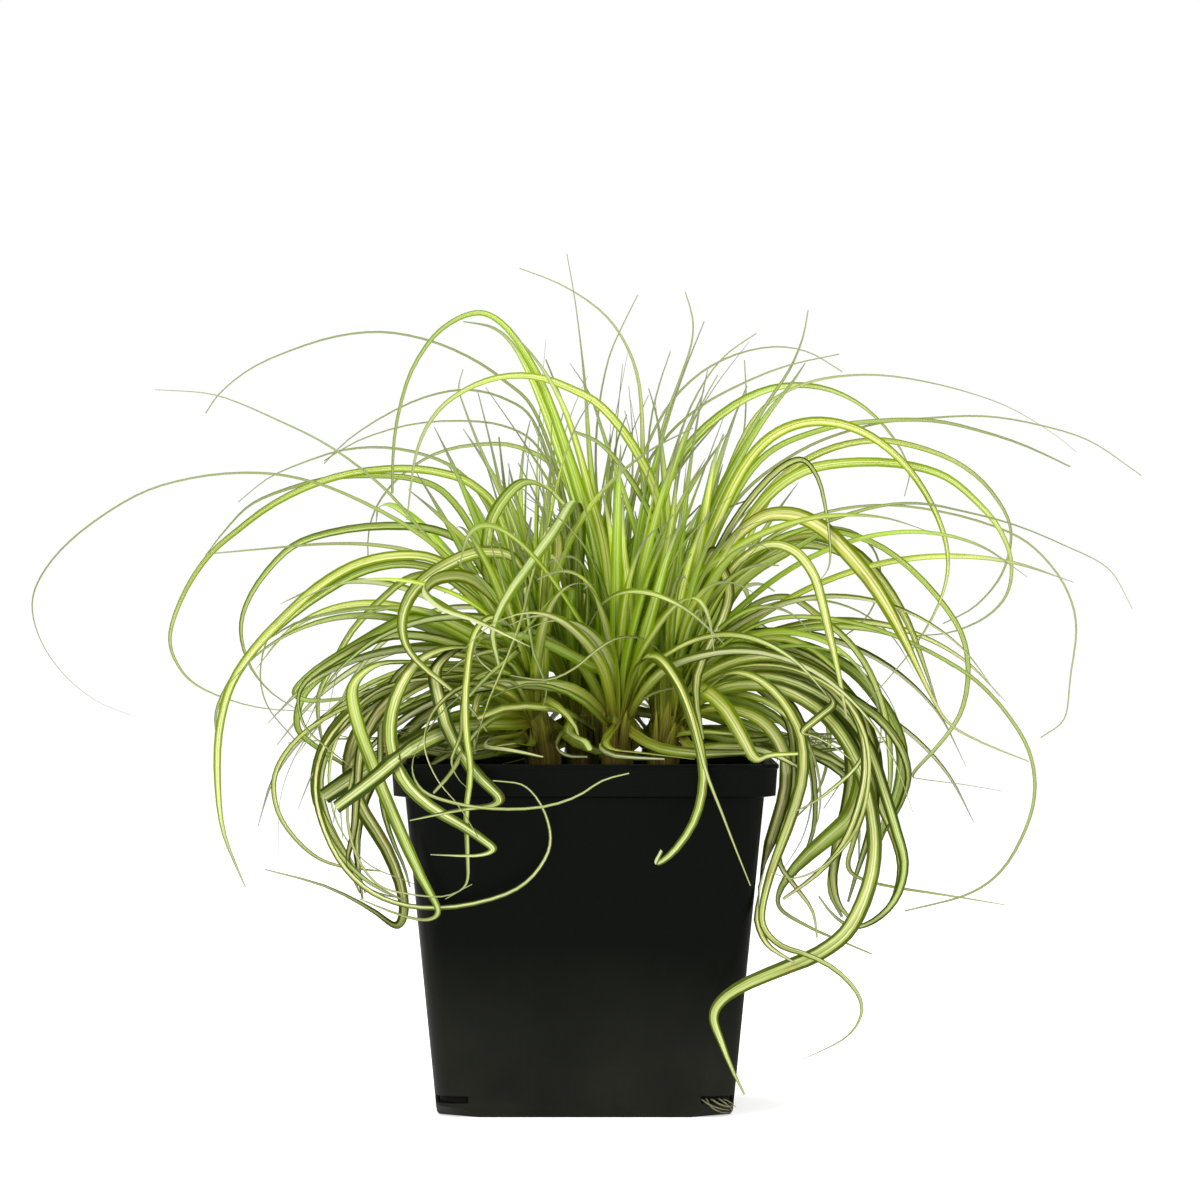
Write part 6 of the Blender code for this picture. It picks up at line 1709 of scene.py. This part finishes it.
def grow_seen_between():
    """The further blades drawn from the photograph, in the depth where they are clear."""
    draw = random.Random(BETWEEN_SEED)
    for shoot, middle, tip, age, widths, drawn in SEEN_BETWEEN:
        facing, width = facing_front(draw, BETWEEN_TILT), max(widths) * BETWEEN_TESTED_WIDTH
        blade = Blade(shoot, width, facing, twisted(draw, BETWEEN_TWIST), age, widths)
        clump.try_blade(blade, traced_routes(shoot, middle, tip, drawn))


def rim_route(shoot, draw):
    """Down from the crown, and away to one side just over the soil and the rim."""
    way, run, back = draw.choice((-1, 1)), draw.uniform(*RIM_RUNS), draw.uniform(*RIM_DEPTHS)
    low, out = draw.uniform(*RIM_HEIGHTS), draw.uniform(*RIM_LANDINGS)
    x, y, _ = crown_at(shoot, CROWN_HEIGHT)
    fall = [(4, 0.1, CROWN_HEIGHT - 2), (out, 0.3, low + 4), (out + run * 0.3, 0.6, low),
            (out + run * 0.65, 0.85, low + draw.uniform(*RIM_WANDER[0])),
            (out + run, 1.0, low + draw.uniform(*RIM_WANDER[1]))]
    route = [np.array((x + way * far, y + (back - y) * share, z)) for far, share, z in fall]
    return [*rooted(shoot, route[0].copy()), *route]


def grow_rim_leaves():
    """The oldest leaves: they drop from the crown and lie just over the soil and the rim."""
    draw = random.Random(RIM_SEED)
    for i in range(RIM_LEAVES):
        shoot = list(SHOOTS)[i % len(SHOOTS)]
        width, tilt = draw.uniform(*RIM_WIDTHS), draw.uniform(*RIM_TILTS)
        facing = np.array((0.0, -math.cos(tilt), math.sin(tilt)))
        blade = Blade(shoot, width, facing, twisted(draw, RIM_TWIST), 1.0, slender(width))
        clump.try_blade(blade, [rim_route(shoot, draw) for _ in range(RIM_TRIES)])


def low_route(shoot, side, slope, length, bend, draw):
    heading = math.radians(side + draw.gauss(0, LOW_HEADING_SPREAD))
    rise, over = draw.uniform(*slope), draw.uniform(*bend)
    drift, reach = draw.gauss(0, LOW_DRIFT_SPREAD), draw.uniform(*length)
    return grown_route(shoot, heading, rise, over, drift, reach)


def in_low_habit(route):
    near = max(math.hypot(x, y) for x, y, _ in route) < LOW_REACH
    return near and min(z for _, _, z in route) > LOWEST and in_habit(route)


def grow_low_fill():
    """Low old blades by rule, spread to both sides and behind."""
    draw = random.Random(LOW_SEED)
    for count, shoots, side, slope, length, bend, widths in LOW_FILL:
        for i in range(count):
            shoot = shoots[i % len(shoots)]
            width = draw.uniform(*widths)
            facing = facing_front(draw, LOW_TILT, LOW_UPWARD)
            blade = Blade(shoot, width, facing, twisted(draw, LOW_TWIST), None, slender(width),
                          LOW_YOUNG_ABOVE)
            routes = [low_route(shoot, side, slope, length, bend, draw) for _ in range(LOW_TRIES)]
            clump.try_blade(blade, [route for route in routes if in_low_habit(route)])


grow_seen_between()
grow_rim_leaves()
grow_low_fill()
between_paths = [path for _, path in leaf_paths()]
between_blades = swept("between_blades", between_paths, leaf_finish, CHANNEL, THICKNESS, SECTION_POINTS)
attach(between_blades, "root")


# Young blades
# New leaves that stand close together in the heart of the clump, still narrow and upright.
# They rise from inside the same stems as the older blades.

YOUNG_BLADES = 136
YOUNG_WIDTHS = (3.4, 5.4)
YOUNG_SLOPES = (58, 89)
YOUNG_BENDS = (8, 95)
YOUNG_LENGTHS = (70, 145)
YOUNG_UPWARD = 0.5
YOUNG_TWIST = 70
YOUNG_CHANNEL = 0.26
YOUNG_TRIES = 14
YOUNG_SEED = 12
# The heart's middle, the heights between which it narrows, and its half width at both
HEART_MIDDLE = 11.0
HEART_HEIGHTS = (150, 215)
HEART_HALF = (74.0, 50.0)


def in_heart(route):
    """True where a young blade stays in the dense heart of the clump, seen from the front."""
    return all(abs(x - HEART_MIDDLE) < np.interp(z, HEART_HEIGHTS, HEART_HALF) for x, _, z in route)


def young_route(shoot, draw):
    heading = draw.uniform(-math.pi, math.pi)
    rise, over = draw.uniform(*YOUNG_SLOPES), draw.uniform(*YOUNG_BENDS)
    drift, reach = draw.gauss(0, DRIFT_SPREAD), draw.uniform(*YOUNG_LENGTHS)
    return grown_route(shoot, heading, rise, over, drift, reach)


def grow_young_blades():
    """Short upright blades between the others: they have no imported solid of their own."""
    draw = random.Random(YOUNG_SEED)
    for i in range(YOUNG_BLADES):
        shoot = list(SHOOTS)[i % len(SHOOTS)]
        width = draw.uniform(*YOUNG_WIDTHS)
        facing = facing_round(draw, YOUNG_UPWARD)
        blade = Blade(shoot, width, facing, twisted(draw, YOUNG_TWIST), None, slender(width))
        routes = [young_route(shoot, draw) for _ in range(YOUNG_TRIES)]
        clump.try_blade(blade, [route for route in routes if in_heart(route)])


grow_young_blades()
young_paths = [path for _, path in leaf_paths()]
young = swept("young_blades", young_paths, leaf_finish, YOUNG_CHANNEL, THICKNESS, SECTION_POINTS)
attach(young, "root")


# Studio
# A pale seamless floor, a softbox overhead and one at each side of the front, and a pale room.
# None of it belongs to the plant.

# The floor's half side, and the point that the softboxes face, in metres
FLOOR_HALF = 30
LIT_POINT = Vector((0, 0, 0.16))
FLOOR_GREYS = ((0.3, 0.89), (0.7, 0.91))
FLOOR_GLOW = 0.45
# Each softbox: its place and side in metres, and its power in watts
SOFTBOXES = {
    "overhead": ((0.0, -0.35, 1.7), 1.6, 22),
    "front_left": ((-1.1, -1.7, 0.9), 1.2, 31),
    "front_right": ((1.2, -1.6, 0.8), 1.2, 18),
}
ROOM_GREYS = ((0.50, 0.22), (0.80, 0.95))
ROOM_DIM = (0.03, 0.03, 0.03)
WHITE = (1.0, 1.0, 1.0)


def floor_finish():
    made, tree, shader = new_material("pale_floor", roughness=0.85, specular=0.1)
    grain = add_node(tree, "ShaderNodeTexNoise", {"Vector": object_place(tree), "Scale": 3.0})
    feed(tree, shader.inputs["Base Color"], grey_ramp(tree, grain.outputs["Fac"], *FLOOR_GREYS))
    feed(tree, shader.inputs["Emission Color"], WHITE)
    feed(tree, shader.inputs["Emission Strength"], FLOOR_GLOW)
    return made


def softbox(name, place, side, power):
    light = bpy.data.lights.new(name, "AREA")
    light.shape = "RECTANGLE"
    light.size = light.size_y = side
    light.energy = power
    obj = bpy.data.objects.new(name, light)
    obj.location = place
    obj.rotation_euler = (LIT_POINT - Vector(place)).to_track_quat("-Z", "Y").to_euler()
    bpy.context.scene.collection.objects.link(obj)


def pale_room():
    """Bright above and behind, dim towards the viewer, and plain white to the camera."""
    world = bpy.data.worlds.new("pale_room")
    world.use_nodes = True
    tree = world.node_tree
    room = tree.nodes["Background"]
    place = split(tree, add_node(tree, "ShaderNodeTexCoord").outputs["Generated"])
    sky = grey_ramp(tree, maths(tree, "MULTIPLY_ADD", place["Z"], 0.5, 0.5), *ROOM_GREYS)
    unlit = maths(tree, "MULTIPLY_ADD", place["Y"], -1.3, 0.0, clamp=True)
    feed(tree, room.inputs["Color"], mix(tree, unlit, sky, ROOM_DIM))
    seen = add_node(tree, "ShaderNodeBackground", {"Color": WHITE})
    rays = add_node(tree, "ShaderNodeLightPath")
    pick = add_node(tree, "ShaderNodeMixShader", {
        0: rays.outputs["Is Camera Ray"], 1: room.outputs[0], 2: seen.outputs[0]})
    feed(tree, tree.nodes["World Output"].inputs["Surface"], pick.outputs[0])
    return world


bm = bmesh.new()
bmesh.ops.create_grid(bm, x_segments=2, y_segments=2, size=FLOOR_HALF)
mesh = bpy.data.meshes.new("floor")
bm.to_mesh(mesh)
bm.free()
floor = add_object("floor", mesh)
dress(floor, floor_finish())

for name, (place, side, power) in SOFTBOXES.items():
    softbox(name, place, side, power)
bpy.context.scene.world = pale_room()
bpy.context.scene.view_settings.view_transform = "Standard"
